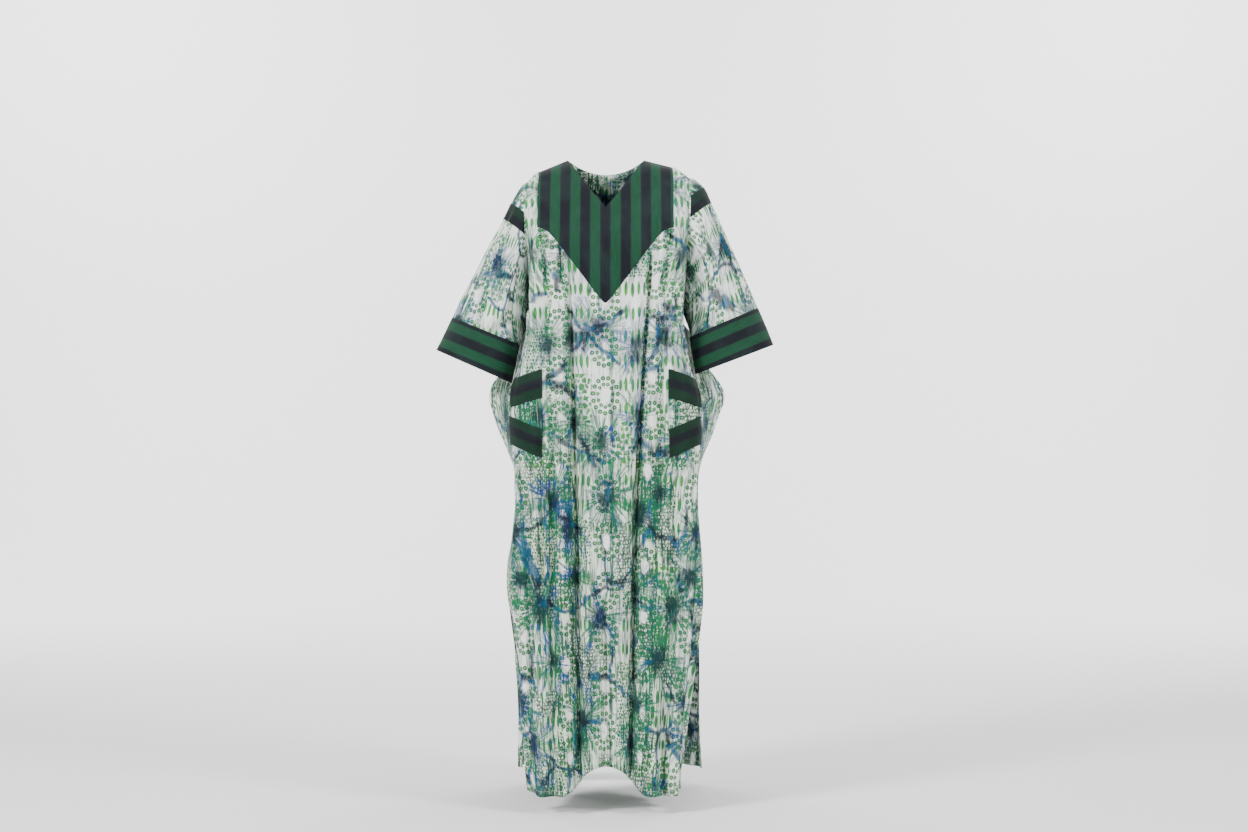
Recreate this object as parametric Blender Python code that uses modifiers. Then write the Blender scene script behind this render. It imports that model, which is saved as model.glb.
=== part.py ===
"""A wide, long kaftan dress as it hangs when worn: printed front, back and sleeves,
with a striped yoke, cuffs, head bands and pocket bands.

Metres, +Z up, +X to the dress's own left, the front faces -Y. The origin is on the
shoulder line, midway between the two shoulder seams.
"""

from math import pi

import bmesh
import bpy
import numpy as np
from mathutils import Vector

# Cloth
WALL = 0.0015  # printed and striped cloth
PATCH = 0.0010  # pockets and bands, sewn on top
SEAM = 0.0003  # gap between two pieces at a seam
SEAM_STRIP = 0.002  # cloth beside an armhole, shoulder or cuff seam that runs straight on
SIDE_FIN = 0.004  # front and back lie flat on each other beside the side seam
NECK_STRIP = 0.1  # the same row at the neckline, as a share of the first row's height

# Neck and yoke, across measured from the middle line
NECK_HALF = 0.086
NECK_RISE = 0.026  # the shoulder seam rises this much towards the neck
SHOULDER_RISE = {1: 0.010, -1: 0.000}  # height of the seam at the yoke's outer corners
SHOULDER_DEPTH = 0.100  # the rise has died out this far down
YOKE_HALF = 0.1495
NECK_DEPTH = 0.090  # point of the V below the shoulder line
BACK_NECK_DEPTH = 0.020
YOKE_TIP = -0.310  # height of the pointed end
YOKE_SIDE = -0.136  # height of the outer corners
YOKE_SLOPE = 1.34  # fall of the slanted edge for each metre across
YOKE_BLEND = 0.011  # rounding where the slanted edge meets the corner
YOKE_GAP = 0.0008  # upright gap along the slanted edge
YOKE_SIDE_GAP = 0.0005  # level gap along the upright edges
YOKE_KEEP_OFF = 0.030  # gathers and folds start this far below it

# Armholes: a slanted plane on each side. +1 is the dress's own left, -1 its right.
ARM_X = {1: 0.188, -1: 0.181}
ARM_LEAN = 0.04
ARM_TOP = {1: -0.009, -1: -0.020}
ARM_BOTTOM = -0.325
ARM_FRONT = 0.112
ARM_BACK = 0.105
ARM_BACKSET = 0.030  # the underarm point lies this far behind the shoulder point
ARM_ROUND = 0.85

# Hem
HEM = -1.370
SLIT_TOP = -0.940

CORNER_PULL = 1.5  # how squarely the cloth turns from the front or back to the side
TUCK_IN = 0.006  # the cloth ahead of an armhole seam stays this far inside it
FOLD_LOW = -0.750  # height of the middle column of each fold table
FOLD_START = 0.070  # a fold deepens over this height
FOLD_KEEP_OFF = 0.026  # folds die out this far from a seam
FOLD_LIP = 0.40  # raised edge of a fold, as a share of its depth
LIP_AT = 1.65  # where the raised edge lies, in half widths of the fold
LIP_WIDE = 0.80
SECTION_STEPS = 33  # samples on each half of a plan section
TANGENT_REACH = 0.004  # the direction across is measured over this much cloth each way
MERGE = 0.00001

# Grid of the front and back. Columns count from the middle line to the seam on
# each side, rows count from the shoulder to the hem.
NECK_COLUMN = 7
YOKE_COLUMN = 12
COLUMN_SHARES = (0, 0.09, 0.18, 0.28, 0.40, 0.53, 0.69, 0.85, 1.0)
EDGE_COLUMN = YOKE_COLUMN + len(COLUMN_SHARES) - 1
POCKET_COLUMNS = (11, 15)
YOKE_ROW = 5
YOKE_STRIP = 0.06  # the front starts flat below the yoke, as a share of a row
UNDERARM_ROW = 10
LEVEL_ROW = 13  # below it the rows are no longer bent by the yoke
UPPER_BAND_ROWS = (14, 16)
LOWER_BAND_ROWS = (18, 20)


def table(columns, *rows):
    """Named columns, one row for each section."""
    return dict(zip(columns.split(), np.array(rows, dtype=float).T))


ROWS = table(
    "middle side",
    (0.000, 0.000), (-0.012, -0.012), (-0.036, -0.036), (-0.068, -0.068),
    (-0.101, -0.101), (YOKE_SIDE, YOKE_SIDE), (-0.185, -0.185), (-0.230, -0.230),
    (-0.268, -0.268), (-0.300, -0.300), (ARM_BOTTOM, ARM_BOTTOM), (-0.330, -0.330),
    (-0.362, -0.362), (-0.400, -0.405), (-0.447, -0.468), (-0.478, -0.500), (-0.510, -0.531),
    (-0.543, -0.540), (-0.577, -0.549), (-0.608, -0.580), (-0.640, -0.612),
    (-0.690, -0.675), (-0.740, -0.740), (-0.790, -0.790), (-0.840, -0.840),
    (-0.890, -0.890), (SLIT_TOP, SLIT_TOP), (-0.995, -0.995), (-1.055, -1.055),
    (-1.120, -1.120), (-1.185, -1.185), (-1.250, -1.250), (-1.312, -1.312),
    (HEM, HEM),
)

# Plan section at each height: depth of the middle line, where the cloth turns to the
# side, and how it is tucked in before the seam.
FRONT = table(
    "height middle corner_left corner_right tuck share",
    (0.000, 0.000, 0.120, 0.120, 0.165, 0.50),
    (-0.012, -0.034, 0.135, 0.135, 0.168, 0.50),
    (-0.036, -0.064, 0.145, 0.145, 0.171, 0.50),
    (-0.068, -0.088, 0.150, 0.150, 0.173, 0.50),
    (-0.101, -0.108, 0.154, 0.154, 0.175, 0.50),
    (-0.136, -0.127, 0.157, 0.157, 0.175, 0.50),
    (-0.185, -0.147, 0.160, 0.160, 0.174, 0.50),
    (-0.230, -0.156, 0.163, 0.163, 0.172, 0.45),
    (-0.268, -0.158, 0.165, 0.165, 0.171, 0.40),
    (-0.300, -0.157, 0.167, 0.167, 0.170, 0.40),
    (-0.325, -0.156, 0.168, 0.168, 0.170, 0.45),
    (-0.362, -0.155, 0.170, 0.170, 0.174, 0.60),
    (-0.400, -0.154, 0.176, 0.178, 0.182, 0.62),
    (-0.440, -0.154, 0.187, 0.190, 0.186, 0.60),
    (-0.475, -0.155, 0.198, 0.202, 0.190, 0.58),
    (-0.505, -0.156, 0.206, 0.209, 0.200, 0.58),
    (-0.540, -0.157, 0.210, 0.211, 0.204, 0.58),
    (-0.575, -0.158, 0.211, 0.210, 0.206, 0.58),
    (-0.645, -0.159, 0.208, 0.203, 0.203, 0.55),
    (-0.690, -0.160, 0.205, 0.197, 0.200, 0.50),
    (-0.740, -0.161, 0.204, 0.198, 0.200, 0.50),
    (-0.790, -0.162, 0.204, 0.204, 0.204, 0.50),
    (-0.840, -0.164, 0.206, 0.213, 0.208, 0.50),
    (-0.890, -0.166, 0.207, 0.220, 0.212, 0.50),
    (-0.940, -0.168, 0.206, 0.220, 0.212, 0.50),
    (-1.000, -0.170, 0.202, 0.207, 0.204, 0.50),
    (-1.060, -0.172, 0.195, 0.196, 0.196, 0.50),
    (-1.200, -0.180, 0.178, 0.182, 0.178, 0.50),
    (-1.370, -0.190, 0.160, 0.174, 0.160, 0.50),
)
BACK = table(
    "height middle corner_left corner_right tuck share",
    (0.000, 0.000, 0.120, 0.120, 0.165, 0.50),
    (-0.012, 0.032, 0.135, 0.135, 0.168, 0.50),
    (-0.036, 0.057, 0.145, 0.145, 0.171, 0.50),
    (-0.068, 0.077, 0.150, 0.150, 0.173, 0.50),
    (-0.101, 0.092, 0.154, 0.154, 0.175, 0.50),
    (-0.136, 0.104, 0.157, 0.157, 0.175, 0.50),
    (-0.185, 0.117, 0.160, 0.160, 0.174, 0.50),
    (-0.230, 0.124, 0.163, 0.163, 0.172, 0.45),
    (-0.268, 0.127, 0.165, 0.165, 0.171, 0.40),
    (-0.300, 0.128, 0.167, 0.167, 0.171, 0.40),
    (-0.325, 0.128, 0.168, 0.168, 0.173, 0.45),
    (-0.362, 0.127, 0.170, 0.170, 0.186, 0.55),
    (-0.400, 0.127, 0.172, 0.172, 0.196, 0.60),
    (-0.440, 0.129, 0.178, 0.178, 0.215, 0.60),
    (-0.475, 0.131, 0.186, 0.186, 0.236, 0.60),
    (-0.505, 0.133, 0.190, 0.190, 0.245, 0.60),
    (-0.540, 0.134, 0.190, 0.190, 0.240, 0.60),
    (-0.575, 0.135, 0.190, 0.190, 0.230, 0.60),
    (-0.645, 0.138, 0.188, 0.188, 0.210, 0.60),
    (-0.740, 0.141, 0.190, 0.190, 0.206, 0.50),
    (-0.840, 0.146, 0.192, 0.192, 0.213, 0.50),
    (-0.940, 0.152, 0.195, 0.195, 0.218, 0.50),
    (-1.060, 0.162, 0.196, 0.196, 0.214, 0.50),
    (-1.200, 0.178, 0.198, 0.198, 0.208, 0.50),
    (-1.370, 0.200, 0.202, 0.202, 0.212, 0.50),
)

# Side seams from the underarm to the slit, then the free edges of each panel.
SIDE_ROWS = (
    (-0.330, 0.170, 0.163, 0.032),
    (-0.362, 0.197, 0.193, 0.060),
    (-0.400, 0.210, 0.209, 0.080),
    (-0.440, 0.235, 0.233, 0.097),
    (-0.475, 0.262, 0.262, 0.104),
    (-0.505, 0.273, 0.270, 0.105),
    (-0.540, 0.262, 0.262, 0.102),
    (-0.575, 0.250, 0.250, 0.098),
    (-0.610, 0.236, 0.235, 0.092),
    (-0.645, 0.221, 0.220, 0.085),
    (-0.690, 0.210, 0.205, 0.076),
    (-0.740, 0.207, 0.203, 0.070),
    (-0.790, 0.210, 0.209, 0.065),
    (-0.840, 0.212, 0.217, 0.060),
    (-0.890, 0.213, 0.226, 0.055),
    (SLIT_TOP, 0.211, 0.226, 0.050),
)
FRONT_EDGE_ROWS = (
    (-1.000, 0.201, 0.210, 0.034),
    (-1.060, 0.193, 0.198, 0.018),
    (-1.130, 0.184, 0.185, 0.004),
    (-1.200, 0.174, 0.178, -0.006),
    (-1.280, 0.162, 0.172, -0.018),
    (-1.370, 0.150, 0.167, -0.030),
)
BACK_EDGE_ROWS = (
    (-1.000, 0.211, 0.219, 0.062),
    (-1.060, 0.212, 0.212, 0.080),
    (-1.130, 0.214, 0.201, 0.100),
    (-1.200, 0.214, 0.194, 0.118),
    (-1.280, 0.216, 0.194, 0.135),
    (-1.370, 0.222, 0.196, 0.150),
)

# Folds: where each starts, how far across it lies at its start, at FOLD_LOW and at the
# hem, its half width above and at the hem, and its depth at the three heights.
FOLD_COLUMNS = "top at_top at_low at_hem wide_top wide_hem deep_top deep_low deep_hem"
FRONT_FOLDS = table(
    FOLD_COLUMNS,
    (-0.215, -0.080, -0.064, -0.056, 0.013, 0.021, 0.012, 0.017, 0.028),
    (-0.185, 0.104, 0.067, 0.056, 0.013, 0.021, 0.012, 0.018, 0.028),
    (-0.420, -0.112, -0.115, -0.112, 0.013, 0.017, 0.003, 0.009, 0.013),
    (-0.560, 0.150, 0.148, 0.128, 0.014, 0.018, 0.003, 0.008, 0.014),
    (-0.600, 0.006, 0.004, 0.000, 0.020, 0.036, 0.002, 0.004, 0.030),
    (-0.600, -0.170, -0.168, -0.166, 0.014, 0.019, 0.003, 0.007, 0.014),
    (-0.330, 0.128, 0.112, 0.092, 0.010, 0.012, 0.004, 0.004, 0.006),
    (-0.480, -0.030, -0.034, -0.030, 0.010, 0.012, 0.003, 0.003, 0.003),
    (-0.700, 0.200, 0.200, 0.185, 0.018, 0.020, 0.003, 0.004, 0.013),
    (-0.700, -0.232, -0.230, -0.222, 0.018, 0.022, 0.003, 0.004, 0.013),
    (-0.400, 0.260, 0.262, 0.250, 0.018, 0.022, 0.009, 0.005, 0.010),
    (-0.400, -0.265, -0.262, -0.270, 0.018, 0.020, 0.009, 0.005, 0.006),
    (-0.150, -0.128, -0.128, -0.128, 0.009, 0.010, 0.006, 0.000, 0.000),
    (-0.165, -0.102, -0.100, -0.100, 0.009, 0.010, 0.005, 0.000, 0.000),
    (-0.150, 0.132, 0.130, 0.130, 0.009, 0.010, 0.006, 0.000, 0.000),
)
BACK_FOLDS = table(
    FOLD_COLUMNS,
    (-0.300, -0.085, -0.075, -0.082, 0.016, 0.023, 0.008, 0.014, 0.026),
    (-0.260, 0.066, 0.060, 0.066, 0.016, 0.023, 0.008, 0.014, 0.027),
    (-0.420, -0.012, -0.010, -0.008, 0.015, 0.022, 0.005, 0.010, 0.022),
    (-0.520, -0.140, -0.142, -0.150, 0.015, 0.021, 0.004, 0.010, 0.018),
    (-0.480, 0.130, 0.128, 0.136, 0.015, 0.021, 0.004, 0.010, 0.018),
    (-0.440, 0.196, 0.190, 0.200, 0.014, 0.018, 0.007, 0.006, 0.012),
    (-0.440, -0.200, -0.190, -0.205, 0.014, 0.018, 0.007, 0.006, 0.012),
    (-0.560, 0.030, 0.028, 0.028, 0.010, 0.014, 0.002, 0.004, 0.007),
    (-0.600, -0.110, -0.108, -0.114, 0.010, 0.013, 0.002, 0.004, 0.007),
)

# Rise of the hem above its lowest line, by the distance across.
FRONT_HEM = table(
    "across rise",
    (-0.330, 0.050), (-0.240, 0.032), (-0.170, 0.004), (-0.092, 0.002), (-0.062, 0.020),
    (-0.040, 0.047), (0.000, 0.061), (0.034, 0.054), (0.055, 0.034), (0.078, 0.008),
    (0.110, 0.000), (0.200, 0.004), (0.280, 0.012), (0.330, 0.034),
)
BACK_HEM = table(
    "across rise",
    (-0.300, 0.002), (-0.150, 0.006), (0.000, 0.010), (0.150, 0.005), (0.300, 0.000),
)
HEM_REACH = 0.200  # the rise fades out over this height

# Sleeve rings from near the armhole to the cuff seam: point on top, point under the arm,
# how far the ring reaches forward and back, and its roundness.
SLEEVE_COLUMNS = "top_x top_y top_z under_x under_y under_z front back round"
SLEEVE = {
    1: table(
        SLEEVE_COLUMNS,
        (0.218, -0.002, -0.036, 0.180, 0.013, -0.335, 0.108, 0.101, 0.86),
        (0.2385, -0.004, -0.0765, 0.184, -0.002, -0.345, 0.103, 0.097, 0.90),
        (0.261, -0.008, -0.126, 0.186, -0.016, -0.354, 0.097, 0.092, 0.95),
        (0.290, -0.014, -0.1935, 0.187, -0.030, -0.362, 0.088, 0.084, 1.00),
        (0.3195, -0.020, -0.261, 0.187, -0.045, -0.370, 0.078, 0.076, 1.10),
        (0.341, -0.025, -0.3105, 0.187, -0.055, -0.377, 0.069, 0.068, 1.20),
    ),
    -1: table(
        SLEEVE_COLUMNS,
        (0.205, -0.002, -0.0585, 0.174, 0.013, -0.336, 0.108, 0.101, 0.86),
        (0.232, -0.004, -0.1125, 0.179, -0.002, -0.350, 0.102, 0.096, 0.90),
        (0.261, -0.008, -0.164, 0.183, -0.016, -0.362, 0.095, 0.090, 0.95),
        (0.290, -0.014, -0.222, 0.186, -0.030, -0.374, 0.086, 0.083, 1.00),
        (0.3185, -0.020, -0.279, 0.189, -0.045, -0.385, 0.077, 0.075, 1.10),
        (0.344, -0.025, -0.331, 0.192, -0.055, -0.394, 0.069, 0.068, 1.20),
    ),
}
CUFF_END = {
    1: (0.373, -0.030, -0.3906, 0.200, -0.060, -0.4559, 0.068, 0.066, 1.20),
    -1: (0.378, -0.030, -0.4017, 0.209, -0.060, -0.4755, 0.068, 0.066, 1.20),
}
RING_STEPS = 10  # from the top of a ring to the point under the arm
HEAD_SMOOTH = 0.12  # share of the sleeve's length with no folds
HEAD_FADE = 0.30  # the folds deepen over this share
CUFF_FADE = 0.12  # and die out over this share before the cuff

# Folds of the sleeves: place round the ring at the armhole and at the cuff in steps,
# front counted from 0 to 10 and back from 10 to 20, half width in steps, and depth.
SLEEVE_FOLDS = table(
    "at_arm at_cuff wide deep_arm deep_cuff",
    (7.6, 3.2, 0.9, 0.010, 0.003),
    (5.0, 1.6, 0.8, 0.006, 0.002),
    (9.0, 6.0, 0.8, 0.006, 0.006),
    (12.6, 16.6, 0.9, 0.010, 0.003),
    (15.0, 18.4, 0.8, 0.006, 0.002),
    (11.0, 13.8, 0.8, 0.005, 0.006),
)

# Head band: a strip round the sleeve head between two parallel planes.
BAND_PITCH = 0.66  # slope of the planes, in radians
BAND_WIDTH = 0.038
BAND_HEIGHT = {1: -0.062, -1: -0.098}  # upper edge where it leaves the armhole seam
BAND_CLEAR = 0.003  # between the band and the armhole seam

PRINT = (0.62, 0.70, 0.62, 1.0)
GREEN = (0.020, 0.130, 0.070, 1.0)
DARK = (0.017, 0.026, 0.036, 1.0)
CLOTH_ROUGHNESS = 0.85


def smooth_step(x):
    x = np.clip(x, 0.0, 1.0)
    return x * x * (3.0 - 2.0 * x)


def curve(xs, ys, x):
    """Smooth curve through (xs, ys), xs rising, with slopes limited to stay even."""
    xs, ys = np.asarray(xs, dtype=float), np.asarray(ys, dtype=float)
    steps = np.diff(xs)
    falls = np.diff(ys) / steps
    slopes = np.empty_like(ys)
    slopes[0], slopes[-1] = falls[0], falls[-1]
    before, after = falls[:-1], falls[1:]
    mean = (before * steps[1:] + after * steps[:-1]) / (steps[1:] + steps[:-1])
    slopes[1:-1] = np.where(before * after > 0.0, mean, 0.5 * mean)
    x = np.clip(np.asarray(x, dtype=float), xs[0], xs[-1])
    i = np.clip(np.searchsorted(xs, x, side="right") - 1, 0, len(xs) - 2)
    t = (x - xs[i]) / steps[i]
    return (
        ys[i] * (1 + 2 * t) * (1 - t) ** 2
        + slopes[i] * steps[i] * t * (1 - t) ** 2
        + ys[i + 1] * t * t * (3 - 2 * t)
        + slopes[i + 1] * steps[i] * t * t * (t - 1)
    )


def read(sections, column, height):
    """A table's column at any height; the table runs downwards."""
    return curve(-sections["height"], sections[column], -np.asarray(height))


def arm_ring(side, turn, face):
    """Point of the armhole, turn from 0 on top to 1 under the arm. Face -1 is the front."""
    mid = 0.5 * (ARM_TOP[side] + ARM_BOTTOM)
    half = 0.5 * (ARM_TOP[side] - ARM_BOTTOM)
    z = mid + half * np.cos(pi * turn)
    reach = ARM_FRONT if face < 0 else ARM_BACK
    bulge = np.clip(np.sin(pi * turn), 0.0, 1.0) ** ARM_ROUND
    y = ARM_BACKSET * 0.5 * (1.0 - np.cos(pi * turn)) + face * reach * bulge
    x = ARM_X[side] + ARM_LEAN * z
    return x, y, z


def edge_table(side, edge_rows):
    """Side seam from the underarm down, then the free edge below the slit."""
    x, y, z = arm_ring(side, 1.0, -1)
    rows = ((z, x, x, y),) + SIDE_ROWS + edge_rows
    return table("height left right y", *rows)


EDGES = {
    (face, side): edge_table(side, rows)
    for face, rows in ((-1, FRONT_EDGE_ROWS), (1, BACK_EDGE_ROWS))
    for side in (1, -1)
}


def seam_point(face, side, level):
    """Where the panel ends at a level: on the armhole above, on the side seam below."""
    turn = np.interp(-level, -ROWS["middle"][: UNDERARM_ROW + 1], np.arange(UNDERARM_ROW + 1))
    arm_x, arm_y, arm_z = arm_ring(side, turn / UNDERARM_ROW, face)
    edges = EDGES[face, side]
    low_x = read(edges, "left" if side > 0 else "right", level)
    low_y = read(edges, "y", level)
    above = level > ARM_BOTTOM
    x = np.where(above, arm_x, low_x)
    y = np.where(above, arm_y, low_y)
    z = np.where(above, arm_z, level)
    return x, y, z


def yoke_edge(across):
    """Height of the yoke's slanted lower edge."""
    depth = -YOKE_TIP - YOKE_SLOPE * np.abs(across) + YOKE_SIDE
    soft = YOKE_BLEND * np.logaddexp(0.0, depth / YOKE_BLEND)
    return YOKE_SIDE - soft


def neck_edge(across, face):
    """Height of the neckline, a V in front and a shallow curve at the back."""
    inside = np.clip(1.0 - np.abs(across) / NECK_HALF, 0.0, 1.0)
    if face < 0:
        return -NECK_DEPTH * inside
    return -BACK_NECK_DEPTH * (1.0 - (1.0 - inside) ** 2)


def shoulder_rise(side, place, level):
    """How far the shoulder slopes up towards the neck."""
    towards = np.clip((1.0 - place) / (1.0 - NECK_HALF / YOKE_HALF), 0.0, 1.0)
    rise = SHOULDER_RISE[side] + (NECK_RISE - SHOULDER_RISE[side]) * towards
    return rise * np.clip(1.0 + level / SHOULDER_DEPTH, 0.0, 1.0) ** 1.5


def column_place(column):
    """0 on the middle line, 1 at the yoke's side edge, 2 at the seam."""
    columns = [0, NECK_COLUMN] + list(range(YOKE_COLUMN, EDGE_COLUMN + 1))
    places = [0.0, NECK_HALF / YOKE_HALF] + [1.0 + share for share in COLUMN_SHARES]
    return np.interp(np.abs(column), columns, places)


def level_of(face, column, row):
    """Height of a grid point before the shoulder's slope is added."""
    place = column_place(column)
    across = place * YOKE_HALF
    steps = np.arange(len(ROWS["middle"]))
    middle = np.interp(row, steps, ROWS["middle"])
    side = np.interp(row, steps, ROWS["side"])
    first, last = POCKET_COLUMNS
    slant = smooth_step((np.abs(column) - first) / (last - first))
    level = middle + (side - middle) * slant
    top = neck_edge(across, face)
    low = yoke_edge(across) if face < 0 else np.full_like(across, YOKE_SIDE)
    fixed = ROWS["middle"][LEVEL_ROW]
    in_yoke = top + (low - top) * (middle / YOKE_SIDE)
    below = low + (fixed - low) * (middle - YOKE_SIDE) / (fixed - YOKE_SIDE)
    inner = np.where(row <= YOKE_ROW, in_yoke, np.where(row < LEVEL_ROW, below, middle))
    return np.where((place < 1.0) & (row < LEVEL_ROW), inner, level)


def section_points(face, side, level, place):
    """Point, tangent and distance across of the plan section, by place on the curve."""
    sections = FRONT if face < 0 else BACK
    middle = read(sections, "middle", level)
    seam_x, seam_y, _ = seam_point(face, side, level)
    tuck_x = read(sections, "tuck", level)
    tuck_x = np.where(level > ARM_BOTTOM, np.minimum(tuck_x, seam_x - TUCK_IN), tuck_x)
    tuck_y = middle + read(sections, "share", level) * (seam_y - middle)
    corner_x = read(sections, "corner_left" if side > 0 else "corner_right", level)
    corner = np.stack([corner_x, middle], -1)
    tuck = np.stack([tuck_x, tuck_y], -1)
    start = np.stack([np.zeros_like(middle), middle], -1)
    end = np.stack([seam_x, seam_y], -1)
    joint = 0.5 * (corner + tuck)
    t = np.linspace(0.0, 1.0, SECTION_STEPS)[:, None, None]
    parts = []
    for a, b, c, pull in ((start, corner, joint, CORNER_PULL), (joint, tuck, end, 1.0)):
        weight = (1 - t) ** 2 + 2 * pull * t * (1 - t) + t * t
        parts.append(((1 - t) ** 2 * a + 2 * pull * t * (1 - t) * b + t * t * c) / weight)
    line = np.concatenate([parts[0], parts[1][1:]])
    length = np.concatenate(
        [np.zeros((1, line.shape[1])), np.cumsum(np.linalg.norm(np.diff(line, axis=0), axis=2), 0)]
    )
    points, tangents, across = [], [], []
    for k in range(line.shape[1]):
        yoke = np.interp(YOKE_HALF, line[:, k, 0], length[:, k])
        total = length[-1, k]
        s = yoke * place[k] if place[k] <= 1.0 else yoke + (total - yoke) * (place[k] - 1.0)
        here = [np.interp(s, length[:, k], line[:, k, i]) for i in (0, 1)]
        back_s, on_s = max(s - TANGENT_REACH, 0.0), min(s + TANGENT_REACH, total)
        step = [
            np.interp(on_s, length[:, k], line[:, k, i])
            - np.interp(back_s, length[:, k], line[:, k, i])
            for i in (0, 1)
        ]
        points.append((side * here[0], here[1]))
        tangents.append(np.array((side * step[0], step[1])) / np.hypot(*step))
        across.append((side * s, total))
    return np.array(points), np.array(tangents), np.array(across)


def fold_shape(q):
    """A soft trough with a raised edge on each side, by distance in half widths."""
    return np.exp(-q * q) - FOLD_LIP * np.exp(-(((q - LIP_AT) / LIP_WIDE) ** 2))


def fold_depth(folds, across, height):
    """How far all folds together draw the cloth in at a point."""
    total = np.zeros_like(across)
    for i in range(len(folds["top"])):
        fold = {name: values[i] for name, values in folds.items()}
        knots = (-fold["top"], -FOLD_LOW, -HEM)
        centre = curve(knots, (fold["at_top"], fold["at_low"], fold["at_hem"]), -height)
        deep = curve(knots, (fold["deep_top"], fold["deep_low"], fold["deep_hem"]), -height)
        fall = smooth_step((fold["top"] - height) / FOLD_START)
        wide = fold["wide_top"] + (fold["wide_hem"] - fold["wide_top"]) * smooth_step(
            (FOLD_LOW - height) / (FOLD_LOW - HEM)
        )
        q = np.abs(across - centre) / wide
        total += deep * fall * fold_shape(q)
    return total


def panel_points(face, columns, rows):
    """Grid of points of the front (face -1) or back (face 1), rows by columns."""
    grid_columns, grid_rows = np.meshgrid(np.asarray(columns, float), np.asarray(rows, float))
    shape = grid_columns.shape
    column, row = grid_columns.ravel(), grid_rows.ravel()
    level = level_of(face, column, row)
    place = column_place(column)
    points = np.zeros((column.size, 3))
    folds, hem = (FRONT_FOLDS, FRONT_HEM) if face < 0 else (BACK_FOLDS, BACK_HEM)
    for side in (1, -1):
        mine = np.where(np.sign(column + 0.5 * side * (column == 0)) == side)[0]
        flat, tangent, across = section_points(face, side, level[mine], place[mine])
        _, _, edge_z = seam_point(face, side, level[mine])
        slope = smooth_step(np.clip(place[mine] - 1.0, 0.0, 1.0))
        height = level[mine] + (edge_z - level[mine]) * slope
        height += shoulder_rise(side, place[mine], level[mine]) * (1.0 - slope)
        keep = smooth_step((across[:, 1] - np.abs(across[:, 0])) / FOLD_KEEP_OFF)
        depth = fold_depth(folds, across[:, 0], height) * keep
        if face < 0:
            depth *= smooth_step((yoke_edge(across[:, 0]) - height) / YOKE_KEEP_OFF)
        rise = curve(hem["across"], hem["rise"], across[:, 0])
        height = height + rise * smooth_step((HEM + HEM_REACH - height) / HEM_REACH)
        inward = np.stack([-tangent[:, 1], tangent[:, 0]], -1) * side * -face
        points[mine, :2] = flat + inward * depth[:, None]
        points[mine, 2] = height
    return points.reshape(shape + (3,))


def straight_edges(points, face, columns, rows):
    """Give a panel its seam strips, so that walls meet square at each seam."""
    points = points.copy()
    gap = 0.5 * SEAM
    rows = np.asarray(rows)
    at_arm = rows <= UNDERARM_ROW
    at_side = rows >= UNDERARM_ROW
    inner = {}
    for edge in (0, -1):
        side = np.sign(columns[edge])
        points[at_arm, edge, 0] -= side * gap
        line = points[at_side, edge]
        lean = np.abs(np.diff(line[:, 1]) / np.diff(line[:, 2]))
        lean = np.maximum(np.append(lean, 0.0), np.append(0.0, lean))
        points[at_side, edge, 1] += face * (gap + WALL) * np.hypot(1.0, lean)
        inner[edge] = points[:, edge].copy()
        inner[edge][at_arm, 0] -= side * SEAM_STRIP
        points[~at_arm, edge, 0] += side * SIDE_FIN
    parts = [points[:, :1], inner[0][:, None], points[:, 1:-1], inner[-1][:, None], points[:, -1:]]
    return np.concatenate(parts, axis=1)


def shoulder_strip(points, face):
    """Let the cloth run straight on beside the shoulder seam, but not at the neckline."""
    points = points.copy()
    on_seam = np.abs(points[0, :, 0]) > NECK_HALF - SEAM
    points[0, on_seam, 1] += face * SEAM
    strip = points[:1] + NECK_STRIP * (points[1:2] - points[:1])
    strip[0, on_seam] = points[0, on_seam] + [0.0, face * SEAM_STRIP, 0.0]
    return np.concatenate([points[:1], strip, points[1:]], axis=0)


def ring_points(side, ring, turns):
    """Points of one sleeve or cuff ring, turns from 0 over the front to 20 over the back."""
    top = np.array((side * ring["top_x"], ring["top_y"], ring["top_z"]))
    under = np.array((side * ring["under_x"], ring["under_y"], ring["under_z"]))
    angle = pi * np.asarray(turns) / RING_STEPS
    along = 0.5 * (1.0 + np.cos(angle))[:, None]
    swing = np.sin(angle)
    bulge = np.abs(swing) ** ring["round"] * np.where(swing >= 0, -ring["front"], ring["back"])
    points = along * top + (1.0 - along) * under
    points[:, 1] += bulge
    return points


def sleeve_rings(side):
    """Table of all rings, from the armhole to the cuff seam."""
    top_x, _, top_z = arm_ring(side, 0.0, -1)
    under_x, under_y, under_z = arm_ring(side, 1.0, -1)
    arm = (top_x, 0.0, top_z, under_x, under_y, under_z, ARM_FRONT, ARM_BACK, ARM_ROUND)
    body = SLEEVE[side]
    return {
        name: np.concatenate([[arm[i]], body[name]])
        for i, name in enumerate(SLEEVE_COLUMNS.split())
    }


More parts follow.
